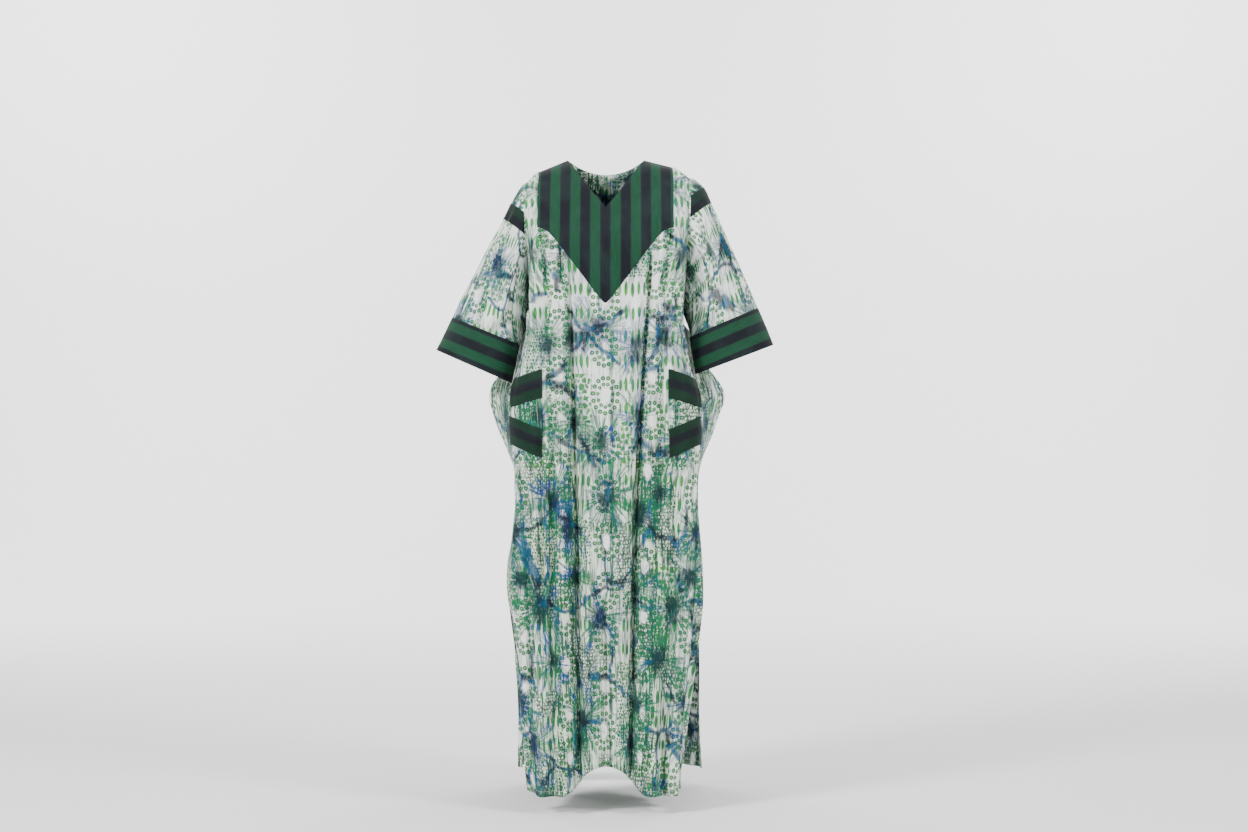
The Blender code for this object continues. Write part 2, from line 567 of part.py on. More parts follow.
def sleeve_points(side, turns, stations):
    """Grid of sleeve points, stations counting the rings from the armhole."""
    rings = sleeve_rings(side)
    count = len(rings["top_x"]) - 1
    turns = np.asarray(turns, float)
    grid = []
    for station in stations:
        ring = {name: curve(np.arange(count + 1), values, station) for name, values in rings.items()}
        points = ring_points(side, ring, turns)
        share = station / count
        centre = points.mean(axis=0)
        outward = points - centre
        outward /= np.linalg.norm(outward, axis=1)[:, None]
        depth = np.zeros_like(turns)
        for i in range(len(SLEEVE_FOLDS["wide"])):
            fold = {name: values[i] for name, values in SLEEVE_FOLDS.items()}
            at = fold["at_arm"] + (fold["at_cuff"] - fold["at_arm"]) * share
            deep = fold["deep_arm"] + (fold["deep_cuff"] - fold["deep_arm"]) * share
            q = np.abs((turns - at + RING_STEPS) % (2 * RING_STEPS) - RING_STEPS) / fold["wide"]
            depth += deep * fold_shape(q)
        depth *= smooth_step((share - HEAD_SMOOTH) / HEAD_FADE) * smooth_step((1.0 - share) / CUFF_FADE)
        grid.append(points - outward * depth[:, None])
    return np.array(grid)


def cuff_axis(side):
    """Direction in which the cuff leaves the sleeve."""
    rings = sleeve_rings(side)
    last = np.array([side * rings["top_x"][-1], rings["top_y"][-1], rings["top_z"][-1]])
    last = last + [side * rings["under_x"][-1], rings["under_y"][-1], rings["under_z"][-1]]
    end = CUFF_END[side]
    low = np.array([side * (end[0] + end[3]), end[1] + end[4], end[2] + end[5]])
    axis = low - last
    return axis / np.linalg.norm(axis)


def sleeve_shell(side):
    """Sleeve grid with straight strips at the armhole and the cuff."""
    turns = np.arange(2 * RING_STEPS)
    grid = sleeve_points(side, turns, range(len(sleeve_rings(side)["top_x"])))
    first = grid[:1] + [side * 0.5 * SEAM, 0.0, 0.0]
    strip = first + [side * SEAM_STRIP, 0.0, 0.0]
    last_strip = grid[-1:] - SEAM_STRIP * cuff_axis(side)
    return np.concatenate([first, strip, grid[1:-1], last_strip, grid[-1:]])


def cuff_shell(side):
    """Cuff grid, from the sleeve seam to the open end."""
    turns = np.arange(2 * RING_STEPS)
    rings = sleeve_rings(side)
    top = sleeve_points(side, turns, [len(rings["top_x"]) - 1])
    end = dict(zip(SLEEVE_COLUMNS.split(), CUFF_END[side]))
    low = ring_points(side, end, turns)[None]
    axis = cuff_axis(side)
    first = top + SEAM * axis
    strip = first + SEAM_STRIP * axis
    return np.concatenate([first, strip, 0.5 * (first + low), low])


def material(name, colour):
    """Cloth material in one colour."""
    cloth = bpy.data.materials.new(name)
    cloth.use_nodes = True
    shader = cloth.node_tree.nodes["Principled BSDF"]
    shader.inputs["Base Color"].default_value = colour
    shader.inputs["Roughness"].default_value = CLOTH_ROUGHNESS
    shader.inputs["Metallic"].default_value = 0.0
    return cloth


def grid_mesh(name, points, keep=None, closed=False, flip=False):
    """Sheet over a grid of points, each cell split the same way on every layer.

    Keep says which cells are cloth.
    """
    rows, columns = points.shape[:2]
    sheet = bmesh.new()
    verts = [sheet.verts.new(point) for point in points.reshape(-1, 3)]
    for r in range(rows - 1):
        for c in range(columns if closed else columns - 1):
            if keep is not None and not keep[r][c]:
                continue
            d = (c + 1) % columns
            corners = [r * columns + c, r * columns + d, (r + 1) * columns + d, (r + 1) * columns + c]
            if flip:
                corners.reverse()
            sheet.faces.new([verts[i] for i in corners])
    loose = [vert for vert in sheet.verts if not vert.link_faces]
    bmesh.ops.delete(sheet, geom=loose, context="VERTS")
    bmesh.ops.triangulate(sheet, faces=sheet.faces[:], quad_method="FIXED")
    sheet.normal_update()
    mesh = bpy.data.meshes.new(name)
    sheet.to_mesh(mesh)
    sheet.free()
    return mesh


def shell(name, mesh, thickness, colour, collection):
    """Object whose wall runs inwards from the sheet."""
    obj = bpy.data.objects.new(name, mesh)
    collection.objects.link(obj)
    mesh.materials.append(material(name, colour))
    mesh.shade_smooth()
    wall = obj.modifiers.new("wall", "SOLIDIFY")
    wall.thickness = thickness
    wall.offset = -1.0
    wall.use_even_offset = False
    return obj


def moved_out(points, distance, closed=False, flip=False):
    """Grid moved out from the panel along its own normals."""
    sheet = grid_mesh("moved", points, closed=closed, flip=flip)
    normals = np.array([vert.normal[:] for vert in sheet.vertices]).reshape(points.shape)
    bpy.data.meshes.remove(sheet)
    return points + normals * distance


def body_pieces(collection):
    """Front, yoke and back."""
    columns = list(range(-EDGE_COLUMN, EDGE_COLUMN + 1))
    rows = list(range(len(ROWS["middle"])))
    front = panel_points(-1, columns, rows)
    under_yoke = panel_points(-1, columns, [YOKE_ROW + YOKE_STRIP])
    wide_columns = [columns[0], columns[0]] + columns[1:-1] + [columns[-1], columns[-1]]
    cut = YOKE_ROW + 1
    panel_rows = rows[:cut] + [YOKE_ROW + YOKE_STRIP] + rows[cut:]
    panel = np.concatenate([front[:cut], under_yoke, front[cut:]])
    tall_rows = [0] + panel_rows
    sheet = shoulder_strip(straight_edges(panel, -1, columns, panel_rows), -1)
    keep = [
        [
            row >= YOKE_ROW or abs(a + b) / 2 > YOKE_COLUMN
            for a, b in zip(wide_columns[:-1], wide_columns[1:])
        ]
        for row in tall_rows[:-1]
    ]
    shell("front", grid_mesh("front", sheet, keep, flip=True), WALL, PRINT, collection)

    middle = slice(columns.index(-YOKE_COLUMN), columns.index(YOKE_COLUMN) + 1)
    yoke = shoulder_strip(front[: YOKE_ROW + 1, middle], -1)
    yoke[:, 0, 0] += YOKE_SIDE_GAP
    yoke[:, -1, 0] -= YOKE_SIDE_GAP
    yoke[-1, :, 2] += YOKE_GAP
    shell("yoke", grid_mesh("yoke", yoke, flip=True), WALL, GREEN, collection)

    back_columns = [c for c in columns if c % 2 == 0 or abs(c) > YOKE_COLUMN]
    back = panel_points(1, back_columns, rows)
    sheet = shoulder_strip(straight_edges(back, 1, back_columns, rows), 1)
    shell("back", grid_mesh("back", sheet), WALL, PRINT, collection)
    return front, columns


def pocket_pieces(front, columns, collection):
    """Pockets with their two bands, from the front's own points."""
    first, last = POCKET_COLUMNS
    on_pocket = SEAM + PATCH
    on_band = 2 * on_pocket
    for side, word in ((1, "left"), (-1, "right")):
        ends = sorted((side * first, side * last))
        across = slice(columns.index(ends[0]), columns.index(ends[1]) + 1)
        for name, (top, low), out, colour in (
            ("pocket", (UPPER_BAND_ROWS[0], LOWER_BAND_ROWS[1]), on_pocket, PRINT),
            ("pocket_upper_band", UPPER_BAND_ROWS, on_band, GREEN),
            ("pocket_lower_band", LOWER_BAND_ROWS, on_band, DARK),
        ):
            piece = moved_out(front, out, flip=True)[top : low + 1, across]
            full = f"{name}_{word}"
            shell(full, grid_mesh(full, piece, flip=True), PATCH, colour, collection)


def sleeve_pieces(collection):
    """Sleeves, cuffs and head bands."""
    for side, word in ((1, "left"), (-1, "right")):
        flip = side < 0
        sleeve = sleeve_shell(side)
        name = f"sleeve_{word}"
        shell(name, grid_mesh(name, sleeve, closed=True, flip=flip), WALL, PRINT, collection)
        name = f"cuff_{word}"
        cuff = cuff_shell(side)
        shell(name, grid_mesh(name, cuff, closed=True, flip=flip), WALL, GREEN, collection)
        head_band(side, f"head_band_{word}", sleeve, flip, collection)


def head_band(side, name, sleeve, flip, collection):
    """Strip over the sleeve head, cut from the sleeve's own sheet and moved out."""
    sheet = bmesh.new()
    lifted = moved_out(sleeve, SEAM + PATCH, closed=True, flip=flip)
    source = grid_mesh(name, lifted, closed=True, flip=flip)
    sheet.from_mesh(source)
    bpy.data.meshes.remove(source)
    down = Vector((side * np.sin(BAND_PITCH), 0.0, -np.cos(BAND_PITCH)))
    start = Vector((side * ARM_X[side], 0.0, BAND_HEIGHT[side]))
    arm = Vector((side * (ARM_X[side] + BAND_CLEAR), 0.0, 0.0))
    off_arm = Vector((side, 0.0, -ARM_LEAN)).normalized()
    for point, outside in (
        (start, -down),
        (start + down * BAND_WIDTH, down),
        (arm, -off_arm),
    ):
        everything = sheet.verts[:] + sheet.edges[:] + sheet.faces[:]
        bmesh.ops.bisect_plane(
            sheet, geom=everything, dist=MERGE, plane_co=point, plane_no=outside, clear_outer=True
        )
    mesh = bpy.data.meshes.new(name)
    sheet.to_mesh(mesh)
    sheet.free()
    shell(name, mesh, PATCH, DARK, collection)


def main():
    for obj in list(bpy.data.objects):
        bpy.data.objects.remove(obj)
    collection = bpy.data.collections.new("kaftan_dress")
    bpy.context.scene.collection.children.link(collection)
    front, columns = body_pieces(collection)
    pocket_pieces(front, columns, collection)
    sleeve_pieces(collection)


main()
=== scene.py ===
# A wide, long kaftan dress as it hangs when worn. The front, back and sleeves are of
# printed cloth, the yoke, cuffs, head bands and pocket bands of striped cloth.
# Metres, +Z up, +X to the dress's own left, the front faces -Y.

from functools import partialmethod
from math import pi

import bmesh
import bpy
import numpy as np
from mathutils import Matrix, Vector


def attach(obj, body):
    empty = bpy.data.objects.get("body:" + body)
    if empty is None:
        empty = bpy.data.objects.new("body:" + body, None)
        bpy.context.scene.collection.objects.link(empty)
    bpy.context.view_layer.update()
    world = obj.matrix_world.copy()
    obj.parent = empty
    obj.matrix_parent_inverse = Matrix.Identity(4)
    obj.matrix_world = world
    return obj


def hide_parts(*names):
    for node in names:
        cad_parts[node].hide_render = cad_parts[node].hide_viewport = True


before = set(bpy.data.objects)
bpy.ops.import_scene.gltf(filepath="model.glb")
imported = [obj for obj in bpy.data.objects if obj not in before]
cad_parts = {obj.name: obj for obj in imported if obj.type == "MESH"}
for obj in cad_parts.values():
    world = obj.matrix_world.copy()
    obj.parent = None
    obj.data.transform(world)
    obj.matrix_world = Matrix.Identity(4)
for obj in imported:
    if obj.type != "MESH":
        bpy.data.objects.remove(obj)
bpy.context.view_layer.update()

# Neck and yoke, across measured from the middle line
NECK_HALF = 0.086
NECK_RISE = 0.026  # the shoulder seam rises this much towards the neck
SHOULDER_RISE = {1: 0.010, -1: 0.000}  # height of the seam at the yoke's outer corners
SHOULDER_DEPTH = 0.100  # the rise has died out this far down
YOKE_HALF = 0.1495
NECK_DEPTH = 0.090  # point of the V below the shoulder line
BACK_NECK_DEPTH = 0.020
YOKE_TIP = -0.310  # height of the pointed end
YOKE_SIDE = -0.136  # height of the outer corners
YOKE_SLOPE = 1.34  # fall of the slanted edge for each metre across
YOKE_BLEND = 0.011  # rounding where the slanted edge meets the corner
YOKE_KEEP_OFF = 0.030  # gathers and folds start this far below it

# Armholes: a slanted plane on each side. +1 is the dress's own left, -1 its right.
ARM_X = {1: 0.188, -1: 0.181}
ARM_LEAN = 0.04
ARM_TOP = {1: -0.009, -1: -0.020}
ARM_BOTTOM = -0.325
ARM_FRONT = 0.112
ARM_BACK = 0.105
ARM_BACKSET = 0.030  # the underarm point lies this far behind the shoulder point
ARM_ROUND = 0.85

# Hem
HEM = -1.370
SLIT_TOP = -0.940

CORNER_PULL = 1.5  # how squarely the cloth turns from the front or back to the side
TUCK_IN = 0.006  # the cloth ahead of an armhole seam stays this far inside it
FOLD_LOW = -0.750  # height of the middle column of each fold table
FOLD_START = 0.070  # a fold deepens over this height
FOLD_KEEP_OFF = 0.026  # folds die out this far from a seam
FOLD_LIP = 0.40  # raised edge of a fold, as a share of its depth
LIP_AT = 1.65  # where the raised edge lies, in half widths of the fold
LIP_WIDE = 0.80
SECTION_STEPS = 65  # samples on each half of a plan section
TANGENT_REACH = 0.004  # the direction across is measured over this much cloth each way

# Grid of the front and back. Columns count from the middle line to the seam on
# each side, rows count from the shoulder to the hem.
NECK_COLUMN = 7
YOKE_COLUMN = 12
COLUMN_SHARES = (0, 0.09, 0.18, 0.28, 0.40, 0.53, 0.69, 0.85, 1.0)
EDGE_COLUMN = YOKE_COLUMN + len(COLUMN_SHARES) - 1
POCKET_COLUMNS = (11, 15)
YOKE_ROW = 5
UNDERARM_ROW = 10
LEVEL_ROW = 13  # below it the rows are no longer bent by the yoke
UPPER_BAND_ROWS = (14, 16)
LOWER_BAND_ROWS = (18, 20)


def table(columns, *rows):
    """Named columns, one row for each section."""
    return dict(zip(columns.split(), np.array(rows, dtype=float).T))


ROWS = table(
    "middle side",
    (0.000, 0.000), (-0.012, -0.012), (-0.036, -0.036), (-0.068, -0.068),
    (-0.101, -0.101), (YOKE_SIDE, YOKE_SIDE), (-0.185, -0.185), (-0.230, -0.230),
    (-0.268, -0.268), (-0.300, -0.300), (ARM_BOTTOM, ARM_BOTTOM), (-0.330, -0.330),
    (-0.362, -0.362), (-0.400, -0.405), (-0.447, -0.468), (-0.478, -0.500), (-0.510, -0.531),
    (-0.543, -0.540), (-0.577, -0.549), (-0.608, -0.580), (-0.640, -0.612),
    (-0.690, -0.675), (-0.740, -0.740), (-0.790, -0.790), (-0.840, -0.840),
    (-0.890, -0.890), (SLIT_TOP, SLIT_TOP), (-0.995, -0.995), (-1.055, -1.055),
    (-1.120, -1.120), (-1.185, -1.185), (-1.250, -1.250), (-1.312, -1.312),
    (HEM, HEM),
)

# Plan section at each height: depth of the middle line, where the cloth turns to the
# side, and how it is tucked in before the seam.
FRONT = table(
    "height middle corner_left corner_right tuck share",
    (0.000, 0.000, 0.120, 0.120, 0.165, 0.50),
    (-0.012, -0.034, 0.135, 0.135, 0.168, 0.50),
    (-0.036, -0.064, 0.145, 0.145, 0.171, 0.50),
    (-0.068, -0.088, 0.150, 0.150, 0.173, 0.50),
    (-0.101, -0.108, 0.154, 0.154, 0.175, 0.50),
    (-0.136, -0.127, 0.157, 0.157, 0.175, 0.50),
    (-0.185, -0.147, 0.160, 0.160, 0.174, 0.50),
    (-0.230, -0.156, 0.163, 0.163, 0.172, 0.45),
    (-0.268, -0.158, 0.165, 0.165, 0.171, 0.40),
    (-0.300, -0.157, 0.167, 0.167, 0.170, 0.40),
    (-0.325, -0.156, 0.168, 0.168, 0.170, 0.45),
    (-0.362, -0.155, 0.170, 0.170, 0.174, 0.60),
    (-0.400, -0.154, 0.176, 0.178, 0.182, 0.62),
    (-0.440, -0.154, 0.187, 0.190, 0.186, 0.60),
    (-0.475, -0.155, 0.198, 0.202, 0.190, 0.58),
    (-0.505, -0.156, 0.206, 0.209, 0.200, 0.58),
    (-0.540, -0.157, 0.210, 0.211, 0.204, 0.58),
    (-0.575, -0.158, 0.211, 0.210, 0.206, 0.58),
    (-0.645, -0.159, 0.208, 0.203, 0.203, 0.55),
    (-0.690, -0.160, 0.205, 0.197, 0.200, 0.50),
    (-0.740, -0.161, 0.204, 0.198, 0.200, 0.50),
    (-0.790, -0.162, 0.204, 0.204, 0.204, 0.50),
    (-0.840, -0.164, 0.206, 0.213, 0.208, 0.50),
    (-0.890, -0.166, 0.207, 0.220, 0.212, 0.50),
    (-0.940, -0.168, 0.206, 0.220, 0.212, 0.50),
    (-1.000, -0.170, 0.202, 0.207, 0.204, 0.50),
    (-1.060, -0.172, 0.195, 0.196, 0.196, 0.50),
    (-1.200, -0.180, 0.178, 0.182, 0.178, 0.50),
    (-1.370, -0.190, 0.160, 0.174, 0.160, 0.50),
)
BACK = table(
    "height middle corner_left corner_right tuck share",
    (0.000, 0.000, 0.120, 0.120, 0.165, 0.50),
    (-0.012, 0.032, 0.135, 0.135, 0.168, 0.50),
    (-0.036, 0.057, 0.145, 0.145, 0.171, 0.50),
    (-0.068, 0.077, 0.150, 0.150, 0.173, 0.50),
    (-0.101, 0.092, 0.154, 0.154, 0.175, 0.50),
    (-0.136, 0.104, 0.157, 0.157, 0.175, 0.50),
    (-0.185, 0.117, 0.160, 0.160, 0.174, 0.50),
    (-0.230, 0.124, 0.163, 0.163, 0.172, 0.45),
    (-0.268, 0.127, 0.165, 0.165, 0.171, 0.40),
    (-0.300, 0.128, 0.167, 0.167, 0.171, 0.40),
    (-0.325, 0.128, 0.168, 0.168, 0.173, 0.45),
    (-0.362, 0.127, 0.170, 0.170, 0.186, 0.55),
    (-0.400, 0.127, 0.172, 0.172, 0.196, 0.60),
    (-0.440, 0.129, 0.178, 0.178, 0.215, 0.60),
    (-0.475, 0.131, 0.186, 0.186, 0.236, 0.60),
    (-0.505, 0.133, 0.190, 0.190, 0.245, 0.60),
    (-0.540, 0.134, 0.190, 0.190, 0.240, 0.60),
    (-0.575, 0.135, 0.190, 0.190, 0.230, 0.60),
    (-0.645, 0.138, 0.188, 0.188, 0.210, 0.60),
    (-0.740, 0.141, 0.190, 0.190, 0.206, 0.50),
    (-0.840, 0.146, 0.192, 0.192, 0.213, 0.50),
    (-0.940, 0.152, 0.195, 0.195, 0.218, 0.50),
    (-1.060, 0.162, 0.196, 0.196, 0.214, 0.50),
    (-1.200, 0.178, 0.198, 0.198, 0.208, 0.50),
    (-1.370, 0.200, 0.202, 0.202, 0.212, 0.50),
)

# Side seams from the underarm to the slit, then the free edges of each panel.
SIDE_ROWS = (
    (-0.330, 0.170, 0.163, 0.032),
    (-0.362, 0.197, 0.193, 0.060),
    (-0.400, 0.210, 0.209, 0.080),
    (-0.440, 0.235, 0.233, 0.097),
    (-0.475, 0.262, 0.262, 0.104),
    (-0.505, 0.273, 0.270, 0.105),
    (-0.540, 0.262, 0.262, 0.102),
    (-0.575, 0.250, 0.250, 0.098),
    (-0.610, 0.236, 0.235, 0.092),
    (-0.645, 0.221, 0.220, 0.085),
    (-0.690, 0.210, 0.205, 0.076),
    (-0.740, 0.207, 0.203, 0.070),
    (-0.790, 0.210, 0.209, 0.065),
    (-0.840, 0.212, 0.217, 0.060),
    (-0.890, 0.213, 0.226, 0.055),
    (SLIT_TOP, 0.211, 0.226, 0.050),
)
FRONT_EDGE_ROWS = (
    (-1.000, 0.201, 0.210, 0.034),
    (-1.060, 0.193, 0.198, 0.018),
    (-1.130, 0.184, 0.185, 0.004),
    (-1.200, 0.174, 0.178, -0.006),
    (-1.280, 0.162, 0.172, -0.018),
    (-1.370, 0.150, 0.167, -0.030),
)
BACK_EDGE_ROWS = (
    (-1.000, 0.211, 0.219, 0.062),
    (-1.060, 0.212, 0.212, 0.080),
    (-1.130, 0.214, 0.201, 0.100),
    (-1.200, 0.214, 0.194, 0.118),
    (-1.280, 0.216, 0.194, 0.135),
    (-1.370, 0.222, 0.196, 0.150),
)

# Folds: where each starts, how far across it lies at its start, at FOLD_LOW and at the
# hem, its half width above and at the hem, and its depth at the three heights.
FOLD_COLUMNS = "top at_top at_low at_hem wide_top wide_hem deep_top deep_low deep_hem"
FRONT_FOLDS = table(
    FOLD_COLUMNS,
    (-0.215, -0.080, -0.064, -0.056, 0.013, 0.021, 0.012, 0.017, 0.028),
    (-0.185, 0.104, 0.067, 0.056, 0.013, 0.021, 0.012, 0.018, 0.028),
    (-0.420, -0.112, -0.115, -0.112, 0.013, 0.017, 0.003, 0.009, 0.013),
    (-0.560, 0.150, 0.148, 0.128, 0.014, 0.018, 0.003, 0.008, 0.014),
    (-0.600, 0.006, 0.004, 0.000, 0.020, 0.036, 0.002, 0.004, 0.030),
    (-0.600, -0.170, -0.168, -0.166, 0.014, 0.019, 0.003, 0.007, 0.014),
    (-0.330, 0.128, 0.112, 0.092, 0.010, 0.012, 0.004, 0.004, 0.006),
    (-0.480, -0.030, -0.034, -0.030, 0.010, 0.012, 0.003, 0.003, 0.003),
    (-0.700, 0.200, 0.200, 0.185, 0.018, 0.020, 0.003, 0.004, 0.013),
    (-0.700, -0.232, -0.230, -0.222, 0.018, 0.022, 0.003, 0.004, 0.013),
    (-0.400, 0.260, 0.262, 0.250, 0.018, 0.022, 0.009, 0.005, 0.010),
    (-0.400, -0.265, -0.262, -0.270, 0.018, 0.020, 0.009, 0.005, 0.006),
    (-0.150, -0.128, -0.128, -0.128, 0.009, 0.010, 0.006, 0.000, 0.000),
    (-0.165, -0.102, -0.100, -0.100, 0.009, 0.010, 0.005, 0.000, 0.000),
    (-0.150, 0.132, 0.130, 0.130, 0.009, 0.010, 0.006, 0.000, 0.000),
)
BACK_FOLDS = table(
    FOLD_COLUMNS,
    (-0.300, -0.085, -0.075, -0.082, 0.016, 0.023, 0.008, 0.014, 0.026),
    (-0.260, 0.066, 0.060, 0.066, 0.016, 0.023, 0.008, 0.014, 0.027),
    (-0.420, -0.012, -0.010, -0.008, 0.015, 0.022, 0.005, 0.010, 0.022),
    (-0.520, -0.140, -0.142, -0.150, 0.015, 0.021, 0.004, 0.010, 0.018),
    (-0.480, 0.130, 0.128, 0.136, 0.015, 0.021, 0.004, 0.010, 0.018),
    (-0.440, 0.196, 0.190, 0.200, 0.014, 0.018, 0.007, 0.006, 0.012),
    (-0.440, -0.200, -0.190, -0.205, 0.014, 0.018, 0.007, 0.006, 0.012),
    (-0.560, 0.030, 0.028, 0.028, 0.010, 0.014, 0.002, 0.004, 0.007),
    (-0.600, -0.110, -0.108, -0.114, 0.010, 0.013, 0.002, 0.004, 0.007),
)

# Rise of the hem above its lowest line, by the distance across.
FRONT_HEM = table(
    "across rise",
    (-0.330, 0.050), (-0.240, 0.032), (-0.170, 0.004), (-0.092, 0.002), (-0.062, 0.020),
    (-0.040, 0.047), (0.000, 0.061), (0.034, 0.054), (0.055, 0.034), (0.078, 0.008),
    (0.110, 0.000), (0.200, 0.004), (0.280, 0.012), (0.330, 0.034),
)
BACK_HEM = table(
    "across rise",
    (-0.300, 0.002), (-0.150, 0.006), (0.000, 0.010), (0.150, 0.005), (0.300, 0.000),
)
HEM_REACH = 0.200  # the rise fades out over this height

# Sleeve rings from near the armhole to the cuff seam: point on top, point under the arm,
# how far the ring reaches forward and back, and its roundness.
SLEEVE_COLUMNS = "top_x top_y top_z under_x under_y under_z front back round"
SLEEVE = {
    1: table(
        SLEEVE_COLUMNS,
        (0.218, -0.002, -0.036, 0.180, 0.013, -0.335, 0.108, 0.101, 0.86),
        (0.2385, -0.004, -0.0765, 0.184, -0.002, -0.345, 0.103, 0.097, 0.90),
        (0.261, -0.008, -0.126, 0.186, -0.016, -0.354, 0.097, 0.092, 0.95),
        (0.290, -0.014, -0.1935, 0.187, -0.030, -0.362, 0.088, 0.084, 1.00),
        (0.3195, -0.020, -0.261, 0.187, -0.045, -0.370, 0.078, 0.076, 1.10),
        (0.341, -0.025, -0.3105, 0.187, -0.055, -0.377, 0.069, 0.068, 1.20),
    ),
    -1: table(
        SLEEVE_COLUMNS,
        (0.205, -0.002, -0.0585, 0.174, 0.013, -0.336, 0.108, 0.101, 0.86),
        (0.232, -0.004, -0.1125, 0.179, -0.002, -0.350, 0.102, 0.096, 0.90),
        (0.261, -0.008, -0.164, 0.183, -0.016, -0.362, 0.095, 0.090, 0.95),
        (0.290, -0.014, -0.222, 0.186, -0.030, -0.374, 0.086, 0.083, 1.00),
        (0.3185, -0.020, -0.279, 0.189, -0.045, -0.385, 0.077, 0.075, 1.10),
        (0.344, -0.025, -0.331, 0.192, -0.055, -0.394, 0.069, 0.068, 1.20),
    ),
}
CUFF_END = {
    1: (0.373, -0.030, -0.3906, 0.200, -0.060, -0.4559, 0.068, 0.066, 1.20),
    -1: (0.378, -0.030, -0.4017, 0.209, -0.060, -0.4755, 0.068, 0.066, 1.20),
}
RING_STEPS = 10  # from the top of a ring to the point under the arm
HEAD_SMOOTH = 0.12  # share of the sleeve's length with no folds
HEAD_FADE = 0.30  # the folds deepen over this share
CUFF_FADE = 0.12  # and die out over this share before the cuff

# Folds of the sleeves: place round the ring at the armhole and at the cuff in steps,
# front counted from 0 to 10 and back from 10 to 20, half width in steps, and depth.
SLEEVE_FOLDS = table(
    "at_arm at_cuff wide deep_arm deep_cuff",
    (7.6, 3.2, 0.9, 0.010, 0.003),
    (5.0, 1.6, 0.8, 0.006, 0.002),
    (9.0, 6.0, 0.8, 0.006, 0.006),
    (12.6, 16.6, 0.9, 0.010, 0.003),
    (15.0, 18.4, 0.8, 0.006, 0.002),
    (11.0, 13.8, 0.8, 0.005, 0.006),
)

# Head band: a strip round the sleeve head between two parallel planes.
BAND_PITCH = 0.66  # slope of the planes, in radians
BAND_WIDTH = 0.038
BAND_HEIGHT = {1: -0.062, -1: -0.098}  # upper edge where it leaves the armhole seam
BAND_CLEAR = 0.003  # between the band and the armhole seam
HEAD_SHARE = 0.62  # share of the sleeve that the band is cut from

